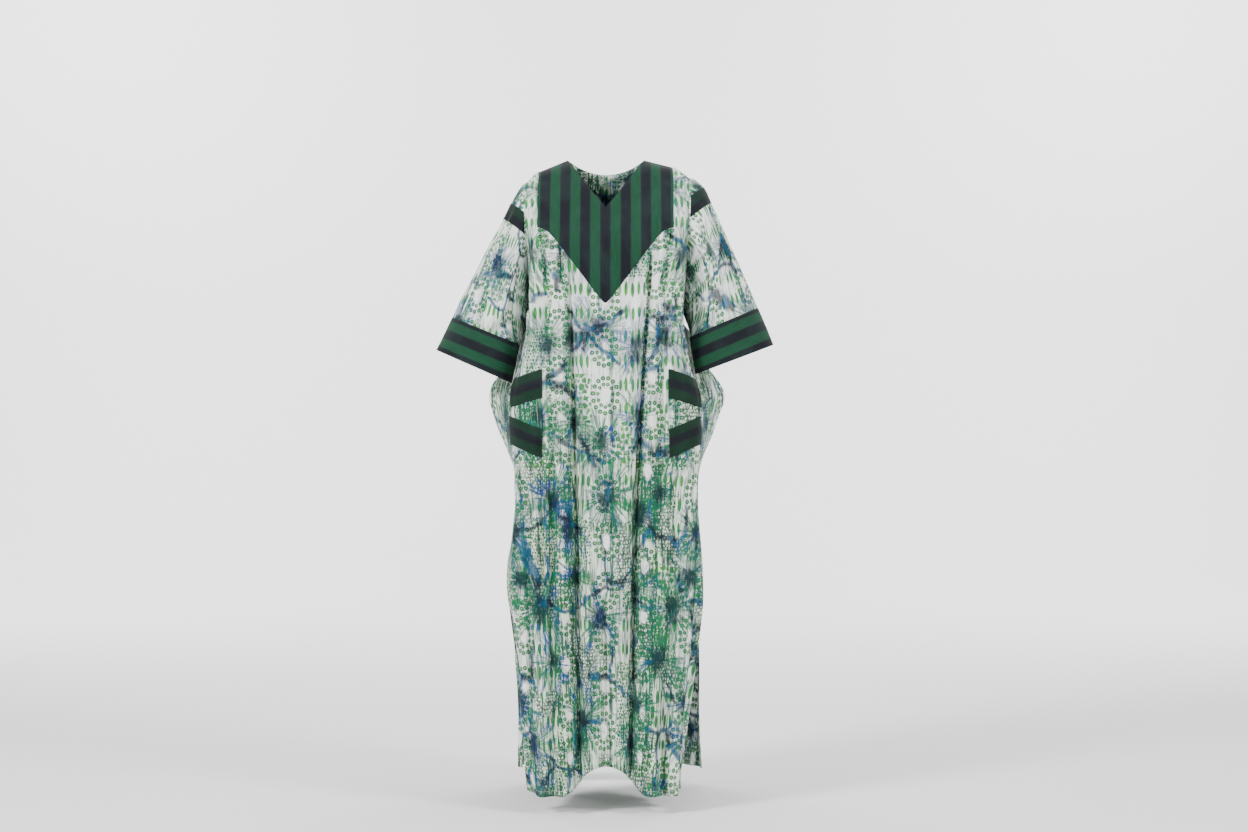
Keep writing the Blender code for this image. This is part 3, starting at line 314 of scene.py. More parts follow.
# Creases finer than the folds: where each starts and ends, how far across it lies at both,
# its bend, half width and depth (below 0 for a ridge), and the shares of its length over
# which it rises and falls away.
CREASE_COLUMNS = "start end from to bend wide deep rise fall"
FRONT_CREASES = table(
    CREASE_COLUMNS,
    # sharp creases at the bottom of the two long folds
    (-0.205, -1.374, -0.080, -0.056, 0.0045, 0.0042, 0.0085, 0.10, 0.03),
    (-0.152, -1.374, 0.105, 0.056, -0.0140, 0.0042, 0.0100, 0.05, 0.03),
    # gathers below the yoke's corners and slanted edges
    (-0.128, -0.235, -0.141, -0.150, 0.004, 0.0055, 0.0069, 0.10, 0.60),
    (-0.140, -0.290, -0.126, -0.132, -0.004, 0.0060, 0.0083, 0.08, 0.55),
    (-0.150, -0.225, -0.113, -0.116, 0.002, 0.0045, 0.0056, 0.10, 0.60),
    (-0.165, -0.330, -0.099, -0.104, 0.003, 0.0055, 0.0076, 0.08, 0.60),
    (-0.180, -0.262, -0.086, -0.089, -0.002, 0.0045, 0.0056, 0.10, 0.55),
    (-0.205, -0.300, -0.068, -0.068, 0.002, 0.0050, 0.0046, 0.10, 0.55),
    (-0.235, -0.345, -0.049, -0.051, -0.002, 0.0045, 0.0040, 0.10, 0.55),
    (-0.128, -0.250, 0.142, 0.151, -0.003, 0.0055, 0.0073, 0.10, 0.60),
    (-0.142, -0.275, 0.128, 0.134, 0.004, 0.0055, 0.0076, 0.08, 0.55),
    (-0.155, -0.235, 0.114, 0.118, -0.002, 0.0045, 0.0056, 0.10, 0.60),
    (-0.172, -0.310, 0.096, 0.100, -0.003, 0.0055, 0.0073, 0.08, 0.60),
    (-0.190, -0.268, 0.081, 0.083, 0.002, 0.0045, 0.0053, 0.10, 0.55),
    (-0.212, -0.320, 0.063, 0.064, -0.002, 0.0050, 0.0046, 0.10, 0.55),
    (-0.248, -0.340, 0.043, 0.044, 0.001, 0.0045, 0.0036, 0.10, 0.55),
    # pulls from under the arms
    (-0.232, -0.410, -0.150, -0.190, -0.010, 0.0080, 0.0086, 0.30, 0.50),
    (-0.262, -0.392, -0.170, -0.150, 0.008, 0.0060, 0.0059, 0.30, 0.50),
    (-0.300, -0.455, -0.178, -0.214, -0.006, 0.0075, 0.0074, 0.30, 0.45),
    (-0.205, -0.380, 0.148, 0.186, 0.010, 0.0080, 0.0086, 0.30, 0.50),
    (-0.272, -0.402, 0.168, 0.150, -0.008, 0.0060, 0.0059, 0.30, 0.50),
    (-0.310, -0.470, 0.180, 0.222, 0.006, 0.0075, 0.0074, 0.30, 0.45),
    # slack over the hips
    (-0.400, -0.560, -0.240, -0.222, -0.010, 0.0090, 0.0083, 0.35, 0.45),
    (-0.455, -0.620, -0.270, -0.245, -0.008, 0.0080, 0.0069, 0.35, 0.45),
    (-0.410, -0.580, 0.246, 0.228, 0.010, 0.0090, 0.0083, 0.35, 0.45),
    (-0.470, -0.640, 0.276, 0.252, 0.008, 0.0080, 0.0069, 0.35, 0.45),
    # long soft folds down the skirt
    (-0.360, -0.900, -0.044, -0.040, 0.003, 0.0080, 0.0049, 0.25, 0.40),
    (-0.330, -0.760, 0.034, 0.030, -0.003, 0.0080, 0.0046, 0.30, 0.40),
    (-0.520, -1.330, -0.086, -0.080, 0.004, 0.0085, 0.0073, 0.25, 0.20),
    (-0.450, -1.120, -0.138, -0.136, -0.005, 0.0090, 0.0076, 0.25, 0.35),
    (-0.640, -1.374, -0.140, -0.146, 0.004, 0.0085, 0.0079, 0.30, 0.05),
    (-0.500, -1.150, 0.122, 0.110, 0.004, 0.0080, 0.0069, 0.25, 0.35),
    (-0.590, -1.374, 0.086, 0.088, -0.004, 0.0085, 0.0076, 0.30, 0.05),
    (-0.700, -1.374, 0.166, 0.156, 0.005, 0.0080, 0.0073, 0.30, 0.05),
    (-0.760, -1.374, -0.024, -0.030, 0.003, 0.0090, 0.0076, 0.30, 0.05),
    (-0.820, -1.374, 0.030, 0.028, -0.003, 0.0080, 0.0069, 0.30, 0.05),
    (-0.700, -1.240, -0.198, -0.200, 0.006, 0.0100, 0.0079, 0.30, 0.35),
    (-0.860, -1.374, 0.216, 0.214, -0.005, 0.0095, 0.0073, 0.30, 0.10),
    (-0.980, -1.374, -0.094, -0.090, -0.003, 0.0070, 0.0059, 0.30, 0.05),
    (-1.040, -1.374, 0.118, 0.124, 0.003, 0.0070, 0.0059, 0.30, 0.05),
    (-0.880, -1.260, -0.008, 0.006, 0.004, 0.0070, 0.0043, 0.30, 0.40),
    (-0.480, -0.700, 0.060, 0.070, 0.003, 0.0060, -0.0034, 0.30, 0.40),
    (-0.420, -0.640, -0.076, -0.082, 0.003, 0.0060, -0.0034, 0.30, 0.40),
    (-0.740, -1.080, 0.140, 0.134, 0.003, 0.0060, -0.0036, 0.30, 0.40),
)
BACK_CREASES = table(
    CREASE_COLUMNS,
    (-0.060, -0.420, -0.120, -0.110, 0.006, 0.0090, 0.0066, 0.35, 0.45),
    (-0.050, -0.360, 0.112, 0.104, -0.006, 0.0090, 0.0063, 0.35, 0.45),
    (-0.120, -0.520, -0.030, -0.034, 0.006, 0.0100, 0.0056, 0.35, 0.40),
    (-0.160, -0.600, 0.034, 0.030, -0.006, 0.0100, 0.0056, 0.35, 0.40),
    (-0.210, -0.400, -0.150, -0.192, -0.010, 0.0080, 0.0083, 0.30, 0.50),
    (-0.230, -0.410, 0.150, 0.196, 0.010, 0.0080, 0.0083, 0.30, 0.50),
    (-0.380, -0.600, -0.250, -0.224, -0.010, 0.0090, 0.0076, 0.35, 0.45),
    (-0.390, -0.620, 0.252, 0.226, 0.010, 0.0090, 0.0076, 0.35, 0.45),
    (-0.540, -1.374, -0.046, -0.044, 0.005, 0.0085, 0.0073, 0.30, 0.05),
    (-0.620, -1.374, 0.104, 0.100, -0.005, 0.0085, 0.0076, 0.30, 0.05),
    (-0.700, -1.374, -0.180, -0.186, 0.004, 0.0085, 0.0073, 0.30, 0.05),
    (-0.660, -1.374, 0.166, 0.172, 0.004, 0.0080, 0.0069, 0.30, 0.05),
    (-0.860, -1.374, 0.040, 0.044, -0.003, 0.0075, 0.0059, 0.30, 0.05),
    (-0.900, -1.374, -0.110, -0.118, 0.003, 0.0075, 0.0059, 0.30, 0.05),
    (-0.560, -0.980, 0.220, 0.214, 0.006, 0.0095, 0.0066, 0.30, 0.35),
    (-0.600, -1.040, -0.222, -0.216, 0.006, 0.0095, 0.0066, 0.30, 0.35),
    (-0.440, -0.700, 0.086, 0.090, 0.003, 0.0060, -0.0034, 0.30, 0.40),
    (-0.900, -1.374, 0.004, 0.010, 0.003, 0.0075, -0.0036, 0.30, 0.10),
)
CREASE_KEEP_OFF = 0.016  # creases die out this far from a seam
GATHER_START = 0.010  # gathers deepen this far below the yoke
TROUGH_REACH = 3.2  # width over which a fold takes up cloth, in half widths

# Creases of the sleeves: place round the ring where each starts and ends, and the shares
# of the sleeve's length between which it runs.
SLEEVE_CREASES = {
    1: table(
        CREASE_COLUMNS,
        (0.02, 0.62, 8.6, 4.9, 0.3, 0.42, 0.0096, 0.30, 0.50),
        (0.04, 0.50, 6.4, 3.8, -0.2, 0.36, 0.0067, 0.30, 0.50),
        (0.00, 0.42, 9.4, 7.6, 0.2, 0.34, 0.0080, 0.25, 0.50),
        (0.30, 0.98, 5.6, 5.0, 0.3, 0.40, 0.0061, 0.40, 0.30),
        (0.45, 0.98, 7.8, 8.2, -0.2, 0.40, 0.0064, 0.40, 0.30),
        (0.20, 0.80, 2.4, 2.0, 0.2, 0.36, 0.0042, 0.40, 0.40),
        (0.05, 0.45, 3.2, 2.2, 0.1, 0.30, -0.0035, 0.40, 0.40),
        (0.02, 0.60, 11.6, 15.0, 0.3, 0.42, 0.0090, 0.30, 0.50),
        (0.06, 0.52, 13.8, 16.4, -0.2, 0.36, 0.0067, 0.30, 0.50),
        (0.30, 0.98, 12.6, 12.2, 0.2, 0.40, 0.0067, 0.40, 0.30),
        (0.40, 0.98, 16.8, 17.2, 0.2, 0.40, 0.0054, 0.40, 0.30),
    ),
    -1: table(
        CREASE_COLUMNS,
        (0.02, 0.66, 8.8, 5.3, -0.3, 0.44, 0.0099, 0.30, 0.50),
        (0.05, 0.54, 6.8, 4.2, 0.2, 0.36, 0.0070, 0.30, 0.50),
        (0.00, 0.46, 9.5, 8.0, 0.2, 0.34, 0.0077, 0.25, 0.50),
        (0.36, 0.98, 6.4, 6.0, 0.3, 0.40, 0.0064, 0.40, 0.30),
        (0.28, 0.90, 3.6, 3.4, -0.2, 0.38, 0.0051, 0.40, 0.30),
        (0.10, 0.55, 2.0, 1.4, 0.1, 0.32, 0.0038, 0.40, 0.40),
        (0.50, 0.98, 8.6, 8.9, 0.1, 0.36, 0.0058, 0.40, 0.30),
        (0.02, 0.64, 11.4, 14.6, -0.3, 0.42, 0.0090, 0.30, 0.50),
        (0.05, 0.50, 13.4, 15.8, 0.2, 0.36, 0.0067, 0.30, 0.50),
        (0.34, 0.98, 13.0, 12.8, 0.2, 0.40, 0.0067, 0.40, 0.30),
        (0.44, 0.98, 17.2, 17.0, -0.2, 0.40, 0.0054, 0.40, 0.30),
    ),
}

CLOTH_WALL = 0.0010
PATCH_WALL = 0.0008
YOKE_LIFT = 0.0012  # the yoke lies over the front by this much
UNDER_YOKE = 0.14  # share of a row by which the front runs on under the yoke
BESIDE_YOKE = 0.20  # the same, in columns
SEAM = 0.0003  # half the gap between front and back at the side seams
SEAM_DIP = 0.0052  # how far an armhole seam draws the cloth in
SEAM_DIP_WIDE = 0.0055
PANEL_STEP = 0.0100  # rows of the front and back, in metres
SLEEVE_STEPS = 84  # columns on each half of a sleeve
SLEEVE_ROWS = 100
SLEEVE_TURNS = np.linspace(-RING_STEPS, RING_STEPS, 2 * SLEEVE_STEPS + 1)[:-1]
LAST_RING = len(SLEEVE[1]["top_x"])  # the armhole is ring 0
CUFF_ROWS = 22
CUFF_LAP = 0.03  # share of its length by which a cuff laps over the sleeve
CUFF_WALL = 0.0014
YOKE_END_ROUND = 0.0055  # half width of the rounding at the yoke's lower end
CUFF_LIFT = 0.0008
BAND_LIFT = 0.0012
POCKET_LIFT = 0.0013
POCKET_BELLY = 0.0030
POCKET_ROWS = {
    "pocket": (UPPER_BAND_ROWS[0], LOWER_BAND_ROWS[1]),
    "pocket_upper_band": UPPER_BAND_ROWS,
    "pocket_lower_band": LOWER_BAND_ROWS,
}
BAND_CLOTH = 0.065  # height of a pocket band's cloth
UNEVEN = {  # soft unevenness: its height, and its size across and down
    "broad": (0.0011, 0.034, 0.110),
    "small": (0.0005, 0.013, 0.060),
    "yoke": (0.0006, 0.05, 0.09),
}
SLEEVE_UNEVEN = 0.0010
SLEEVE_WAVES = 7.0  # waves of unevenness along a sleeve
SLEEVE_ENDS = (0.06, 0.05)  # shares of its length without creases at the armhole and cuff
CUFF_UNEVEN = 0.0012
YOKE_ROLL = (0.0006, 0.004)  # how far the yoke's edges roll in, and over what width
YOKE_CENTRE_SEAM = (0.0009, 0.0016)  # the same for the seam down its middle

# Which part of the cloth each piece is cut from
SLEEVE_PRINT = {1: (1.728, 0.24), -1: (3.576, 0.24)}
BACK_PRINT = 0.9
POCKET_PRINT = (0.31, 0.17)
CUFF_STRIPES = (-0.0425, 0.0890)  # stripe distance at the seam, and over the whole cuff
POCKET_STRIPES = -0.0310
BAND_STRIPE = -0.030


# ---- shapes shared by all pieces


def smooth_step(x):
    x = np.clip(x, 0.0, 1.0)
    return x * x * (3.0 - 2.0 * x)


def curve(xs, ys, x):
    """Smooth curve through (xs, ys), xs rising, with slopes limited to stay even."""
    xs, ys = np.asarray(xs, dtype=float), np.asarray(ys, dtype=float)
    steps = np.diff(xs)
    falls = np.diff(ys) / steps
    slopes = np.empty_like(ys)
    slopes[0], slopes[-1] = falls[0], falls[-1]
    before, after = falls[:-1], falls[1:]
    mean = (before * steps[1:] + after * steps[:-1]) / (steps[1:] + steps[:-1])
    slopes[1:-1] = np.where(before * after > 0.0, mean, 0.5 * mean)
    x = np.clip(np.asarray(x, dtype=float), xs[0], xs[-1])
    i = np.clip(np.searchsorted(xs, x, side="right") - 1, 0, len(xs) - 2)
    t = (x - xs[i]) / steps[i]
    return (
        ys[i] * (1 + 2 * t) * (1 - t) ** 2
        + slopes[i] * steps[i] * t * (1 - t) ** 2
        + ys[i + 1] * t * t * (3 - 2 * t)
        + slopes[i + 1] * steps[i] * t * t * (t - 1)
    )


def read(sections, column, height):
    """A table's column at any height; the table runs downwards."""
    return curve(-sections["height"], sections[column], -np.asarray(height))


def ripple(a, b, seed):
    """Soft random height between -1 and 1 over two coordinates."""
    grid = np.random.default_rng(seed).uniform(-1.0, 1.0, (128, 128))
    i, j = np.floor(a).astype(int), np.floor(b).astype(int)
    p, q = smooth_step(a - i), smooth_step(b - j)
    i, i_next, j, j_next = i % 128, (i + 1) % 128, j % 128, (j + 1) % 128
    low = grid[i, j] * (1 - p) + grid[i_next, j] * p
    high = grid[i, j_next] * (1 - p) + grid[i_next, j_next] * p
    return low * (1 - q) + high * q


def arm_ring(side, turn, face):
    """Point of the armhole, turn from 0 on top to 1 under the arm. Face -1 is the front."""
    mid = 0.5 * (ARM_TOP[side] + ARM_BOTTOM)
    half = 0.5 * (ARM_TOP[side] - ARM_BOTTOM)
    z = mid + half * np.cos(pi * turn)
    reach = ARM_FRONT if face < 0 else ARM_BACK
    bulge = np.clip(np.sin(pi * turn), 0.0, 1.0) ** ARM_ROUND
    y = ARM_BACKSET * 0.5 * (1.0 - np.cos(pi * turn)) + face * reach * bulge
    x = ARM_X[side] + ARM_LEAN * z
    return x, y, z


def edge_table(side, edge_rows):
    """Side seam from the underarm down, then the free edge below the slit."""
    x, y, z = arm_ring(side, 1.0, -1)
    rows = ((z, x, x, y),) + SIDE_ROWS + edge_rows
    return table("height left right y", *rows)


EDGES = {
    (face, side): edge_table(side, rows)
    for face, rows in ((-1, FRONT_EDGE_ROWS), (1, BACK_EDGE_ROWS))
    for side in (1, -1)
}


def seam_point(face, side, level):
    """Where the panel ends at a level: on the armhole above, on the side seam below."""
    rows = np.arange(UNDERARM_ROW + 1)
    turn = curve(-ROWS["middle"][: UNDERARM_ROW + 1], rows, -level) / UNDERARM_ROW
    edges = EDGES[face, side]
    low_x = read(edges, "left" if side > 0 else "right", level)
    low = (low_x, read(edges, "y", level), level)
    above = level > ARM_BOTTOM
    return [np.where(above, a, b) for a, b in zip(arm_ring(side, turn, face), low)]


def yoke_edge(across):
    """Height of the yoke's slanted lower edge."""
    depth = -YOKE_TIP - YOKE_SLOPE * np.abs(across) + YOKE_SIDE
    soft = YOKE_BLEND * np.logaddexp(0.0, depth / YOKE_BLEND)
    return YOKE_SIDE - soft


def neck_edge(across, face):
    """Height of the neckline, a V in front and a shallow curve at the back."""
    inside = np.clip(1.0 - np.abs(across) / NECK_HALF, 0.0, 1.0)
    if face < 0:
        return -NECK_DEPTH * inside
    return -BACK_NECK_DEPTH * (1.0 - (1.0 - inside) ** 2)


def shoulder_rise(side, place, level):
    """How far the shoulder slopes up towards the neck."""
    towards = np.clip((1.0 - place) / (1.0 - NECK_HALF / YOKE_HALF), 0.0, 1.0)
    rise = SHOULDER_RISE[side] + (NECK_RISE - SHOULDER_RISE[side]) * towards
    return rise * np.clip(1.0 + level / SHOULDER_DEPTH, 0.0, 1.0) ** 1.5


def column_place(column):
    """0 on the middle line, 1 at the yoke's side edge, 2 at the seam."""
    columns = [0, NECK_COLUMN] + list(range(YOKE_COLUMN, EDGE_COLUMN + 1))
    places = [0.0, NECK_HALF / YOKE_HALF] + [1.0 + share for share in COLUMN_SHARES]
    return np.interp(np.abs(column), columns, places)


def level_of(face, column, row):
    """Height of a grid point before the shoulder's slope is added."""
    place = column_place(column)
    across = place * YOKE_HALF
    steps = np.arange(len(ROWS["middle"]))
    middle = np.interp(row, steps, ROWS["middle"])
    side = np.interp(row, steps, ROWS["side"])
    first, last = POCKET_COLUMNS
    slant = smooth_step((np.abs(column) - first) / (last - first))
    level = middle + (side - middle) * slant
    top = neck_edge(across, face)
    low = yoke_edge(across) if face < 0 else np.full_like(across, YOKE_SIDE)
    fixed = ROWS["middle"][LEVEL_ROW]
    in_yoke = top + (low - top) * (middle / YOKE_SIDE)
    below = low + (fixed - low) * (middle - YOKE_SIDE) / (fixed - YOKE_SIDE)
    inner = np.where(row <= YOKE_ROW, in_yoke, np.where(row < LEVEL_ROW, below, middle))
    return np.where((place < 1.0) & (row < LEVEL_ROW), inner, level)


def lookup(keys, values, at):
    """For each point, the value where its own rising keys first reach its number."""
    i = np.clip(np.argmax(keys >= at, axis=0), 1, len(keys) - 1)
    i = np.where((keys >= at).any(axis=0), i, len(keys) - 1)
    n = np.arange(keys.shape[1])
    low, high = keys[i - 1, n], keys[i, n]
    t = np.clip((at - low) / np.maximum(high - low, 1e-9), 0.0, 1.0)
    return values[i - 1, n] * (1 - t) + values[i, n] * t


def section_points(face, side, level, place):
    """Point, tangent and distance across of the plan section, by place on the curve."""
    sections = FRONT if face < 0 else BACK
    middle = read(sections, "middle", level)
    seam_x, seam_y, _ = seam_point(face, side, level)
    tuck_x = read(sections, "tuck", level)
    tuck_x = np.where(level > ARM_BOTTOM, np.minimum(tuck_x, seam_x - TUCK_IN), tuck_x)
    tuck_y = middle + read(sections, "share", level) * (seam_y - middle)
    corner_x = read(sections, "corner_left" if side > 0 else "corner_right", level)
    corner = np.stack([corner_x, middle], -1)
    tuck = np.stack([tuck_x, tuck_y], -1)
    start = np.stack([np.zeros_like(middle), middle], -1)
    end = np.stack([seam_x, seam_y], -1)
    joint = 0.5 * (corner + tuck)
    t = np.linspace(0.0, 1.0, SECTION_STEPS)[:, None, None]
    parts = []
    for a, b, c, pull in ((start, corner, joint, CORNER_PULL), (joint, tuck, end, 1.0)):
        weight = (1 - t) ** 2 + 2 * pull * t * (1 - t) + t * t
        parts.append(((1 - t) ** 2 * a + 2 * pull * t * (1 - t) * b + t * t * c) / weight)
    line = np.concatenate([parts[0], parts[1][1:]])
    steps = np.linalg.norm(np.diff(line, axis=0), axis=2)
    length = np.concatenate([np.zeros((1, line.shape[1])), np.cumsum(steps, 0)])
    yoke = lookup(line[:, :, 0], length, np.full(len(level), YOKE_HALF))
    total = length[-1]
    s = np.where(place <= 1.0, yoke * place, yoke + (total - yoke) * (place - 1.0))
    here = [lookup(length, line[:, :, i], s) for i in (0, 1)]
    back_s, on_s = np.maximum(s - TANGENT_REACH, 0.0), np.minimum(s + TANGENT_REACH, total)
    step = [
        lookup(length, line[:, :, i], on_s) - lookup(length, line[:, :, i], back_s)
        for i in (0, 1)
    ]
    size = np.hypot(*step)
    point = np.stack([side * here[0], here[1]], -1)
    tangent = np.stack([side * step[0] / size, step[1] / size], -1)
    return point, tangent, np.stack([side * s, total], -1)


def fold_shape(q):
    """A soft trough with a raised edge on each side, by distance in half widths."""
    return np.exp(-q * q) - FOLD_LIP * np.exp(-(((q - LIP_AT) / LIP_WIDE) ** 2))


def each_row(rows):
    """The rows of a table, one dictionary at a time."""
    for i in range(len(next(iter(rows.values())))):
        yield {name: values[i] for name, values in rows.items()}


def fold_at(fold, height):
    """Where a fold lies across at a height, its half width and its depth."""
    knots = (-fold["top"], -FOLD_LOW, -HEM)
    centre, deep = [
        curve(knots, [fold[f"{what}_{at}"] for at in ("top", "low", "hem")], -height)
        for what in ("at", "deep")
    ]
    down = smooth_step((FOLD_LOW - height) / (FOLD_LOW - HEM))
    wide = fold["wide_top"] + (fold["wide_hem"] - fold["wide_top"]) * down
    return centre, wide, deep * smooth_step((fold["top"] - height) / FOLD_START)


def fold_depth(folds, across, height):
    """How far all folds together draw the cloth in at a point."""
    total = np.zeros_like(across)
    for fold in each_row(folds):
        centre, wide, deep = fold_at(fold, height)
        total += deep * fold_shape(np.abs(across - centre) / wide)
    return total


def crease_at(crease, t):
    """Where a crease lies at a share of its length, its depth there, and that share cut off."""
    inside = np.clip(t, 0.0, 1.0)
    centre = crease["from"] + (crease["to"] - crease["from"]) * inside
    centre = centre + crease["bend"] * np.sin(pi * inside)
    fade = smooth_step(t / crease["rise"]) * smooth_step((1.0 - t) / crease["fall"])
    return centre, crease["deep"] * fade, inside


def crease_depth(creases, across, along):
    """Troughs, or ridges where deep is below 0, each with its own start, end and bend."""
    total = np.zeros_like(across)
    for crease in each_row(creases):
        t = (crease["start"] - along) / (crease["start"] - crease["end"])
        centre, deep, inside = crease_at(crease, t)
        wide = crease["wide"] * (0.75 + 0.5 * inside)
        total += deep * fold_shape(np.abs(across - centre) / wide)
    return total


def unevenness(kind, across, down, shift, seed):
    """Soft unevenness of one kind."""
    high, size_across, size_down = UNEVEN[kind]
    return high * ripple(across / size_across + shift[0], down / size_down + shift[1], seed)


def panel_points(face, columns, rows, fine=True):
    """Points of the front (face -1) or back (face 1), and how far across each lies."""
    grid_columns, grid_rows = np.meshgrid(np.asarray(columns, float), np.asarray(rows, float))
    shape = grid_columns.shape
    column, row = grid_columns.ravel(), grid_rows.ravel()
    level = level_of(face, column, row)
    place = column_place(column)
    points = np.zeros((column.size, 3))
    spread = np.zeros(column.size)
    folds, hem = (FRONT_FOLDS, FRONT_HEM) if face < 0 else (BACK_FOLDS, BACK_HEM)
    creases = FRONT_CREASES if face < 0 else BACK_CREASES
    for side in (1, -1):
        mine = np.where(np.sign(column + 0.5 * side * (column == 0)) == side)[0]
        flat, tangent, reach = section_points(face, side, level[mine], place[mine])
        across, total = reach[:, 0], reach[:, 1]
        _, _, edge_z = seam_point(face, side, level[mine])
        slope = smooth_step(np.clip(place[mine] - 1.0, 0.0, 1.0))
        height = level[mine] + (edge_z - level[mine]) * slope
        height += shoulder_rise(side, place[mine], level[mine]) * (1.0 - slope)
        to_edge = total - np.abs(across)
        depth = fold_depth(folds, across, height) * smooth_step(to_edge / FOLD_KEEP_OFF)
        if face < 0:
            depth *= smooth_step((yoke_edge(across) - height) / YOKE_KEEP_OFF)
        if fine:
            small = crease_depth(creases, across, height)
            small += unevenness("broad", across, height, (0.0, 40.0), 5 + face)
            small += unevenness("small", across, height, (9.0, 40.0), 8 + face)
            ease = smooth_step(to_edge / CREASE_KEEP_OFF)
            if face < 0:
                below = np.where(place[mine] < 1.0, yoke_edge(across) - height, 1.0)
                ease = ease * smooth_step((below + 0.001) / GATHER_START)
            depth = depth + small * ease
        rise = curve(hem["across"], hem["rise"], across)
        height = height + rise * smooth_step((HEM + HEM_REACH - height) / HEM_REACH)
        inward = np.stack([-tangent[:, 1], tangent[:, 0]], -1) * side * -face
        points[mine, :2] = flat + inward * depth[:, None]
        points[mine, 2] = height
        spread[mine] = across
    return points.reshape(shape + (3,)), spread.reshape(shape)


def ring_points(side, ring, turns):
    """Points of one sleeve or cuff ring, turns from 0 over the front to 20 over the back."""
    top = np.array((side * ring["top_x"], ring["top_y"], ring["top_z"]))
    under = np.array((side * ring["under_x"], ring["under_y"], ring["under_z"]))
    angle = pi * np.asarray(turns) / RING_STEPS
    along = 0.5 * (1.0 + np.cos(angle))[:, None]
    swing = np.sin(angle)
    bulge = np.abs(swing) ** ring["round"] * np.where(swing >= 0, -ring["front"], ring["back"])
    points = along * top + (1.0 - along) * under
    points[:, 1] += bulge
    return points


def sleeve_rings(side):
    """Table of all rings, from the armhole to the cuff seam."""
    top_x, _, top_z = arm_ring(side, 0.0, -1)
    under_x, under_y, under_z = arm_ring(side, 1.0, -1)
    arm = (top_x, 0.0, top_z, under_x, under_y, under_z, ARM_FRONT, ARM_BACK, ARM_ROUND)
    body = SLEEVE[side]
    return {
        name: np.concatenate([[arm[i]], body[name]])
        for i, name in enumerate(SLEEVE_COLUMNS.split())
    }


def round_gap(turns, at):
    """Distance round the ring, in steps."""
    return np.abs((turns - at + RING_STEPS) % (2 * RING_STEPS) - RING_STEPS)


def round_ripple(turns, along, seed):
    """Soft random height round a ring, the same where the ring closes."""
    angle = pi * turns / RING_STEPS
    one = ripple(2.6 * np.cos(angle) + 40.0, along + 3.0 + 0.0 * angle, seed)
    return 0.6 * (one + ripple(2.6 * np.sin(angle) + 80.0, along + 50.0 + 0.0 * angle, seed))


def sleeve_points(side, turns, stations):
    """Grid of sleeve points, stations counting the rings from the armhole."""
    rings = sleeve_rings(side)
    grid = []
    for station in stations:
        counts = np.arange(LAST_RING + 1)
        ring = {name: curve(counts, values, station) for name, values in rings.items()}
        points = ring_points(side, ring, turns)
        share = station / LAST_RING
        outward = points - points.mean(axis=0)
        outward /= np.linalg.norm(outward, axis=1)[:, None]
        depth = np.zeros_like(turns)
        for fold in each_row(SLEEVE_FOLDS):
            at = fold["at_arm"] + (fold["at_cuff"] - fold["at_arm"]) * share
            deep = fold["deep_arm"] + (fold["deep_cuff"] - fold["deep_arm"]) * share
            depth += deep * fold_shape(round_gap(turns, at) / fold["wide"])
        depth *= smooth_step((share - HEAD_SMOOTH) / HEAD_FADE)
        depth *= smooth_step((1.0 - share) / CUFF_FADE)
        small = SLEEVE_UNEVEN * round_ripple(turns, share * SLEEVE_WAVES, 21 + side)
        for crease in each_row(SLEEVE_CREASES[side]):
            t = (share - crease["start"]) / (crease["end"] - crease["start"])
            at, deep, _ = crease_at(crease, t)
            small += deep * fold_shape(round_gap(turns, at) / crease["wide"])
        at_arm, at_cuff = SLEEVE_ENDS
        depth += small * smooth_step(share / at_arm) * smooth_step((1.0 - share) / at_cuff)
        grid.append(points - outward * depth[:, None])
    return np.array(grid)


# ---- making a piece


def add_object(name, data):
    """New object in the scene."""
    obj = bpy.data.objects.new(name, data)
    bpy.context.scene.collection.objects.link(obj)
    return obj


def piece(name, points, cloth, wall, material, closed=False, flip=False, keep=None, turned=None):
    """Piece of cloth over a grid, its wall running inwards, with cloth coordinates."""
    rows, columns = points.shape[:2]
    verts = points.reshape(-1, 3)
    wide = columns if closed else columns - 1
    r, c = np.meshgrid(np.arange(rows - 1), np.arange(wide), indexing="ij")
    keep = np.ones(r.shape, bool) if keep is None else keep
    r, c = r[keep], c[keep]
    downs = np.stack([r, r, r + 1, r + 1], -1)
    across = np.stack([c, c + 1, c + 1, c], -1)
    faces = downs * columns + across % columns
    if flip:
        faces, across, downs = faces[:, ::-1], across[:, ::-1], downs[:, ::-1]
    used = np.unique(faces)
    number = np.full(len(verts), -1)
    number[used] = np.arange(len(used))
    mesh = bpy.data.meshes.new(name)
    mesh.from_pydata(verts[used].tolist(), [], number[faces].tolist())
    layer = mesh.uv_layers.new(name="cloth")
    pairs = np.stack([way[downs, across] for way in cloth], -1)
    layer.data.foreach_set("uv", pairs.astype(np.float32).ravel())
    edge = mesh.attributes.new("turned_edge", "FLOAT", "POINT")
    far = np.full(len(used), 1.0) if turned is None else turned.ravel()[used]
    edge.data.foreach_set("value", far.astype(np.float32))
    mesh.materials.append(material)
    mesh.shade_smooth()
    mesh.update()
    obj = add_object(name, mesh)
    shell = obj.modifiers.new("wall", "SOLIDIFY")
    shell.thickness = wall
    shell.offset = -1.0
    shell.use_even_offset = False
    return obj


def grid_normals(points, closed=False, flip=False):
    """Unit normals of a grid, outwards."""
    if closed:
        ahead, behind = np.roll(points, -1, 1), np.roll(points, 1, 1)
    else:
        ahead = np.concatenate([points[:, 1:], points[:, -1:]], 1)
        behind = np.concatenate([points[:, :1], points[:, :-1]], 1)
    below = np.concatenate([points[1:], points[-1:]], 0)
    above = np.concatenate([points[:1], points[:-1]], 0)
    normal = np.cross(ahead - behind, below - above)
    normal /= np.maximum(np.linalg.norm(normal, axis=2), 1e-12)[..., None]
    return -normal if flip else normal


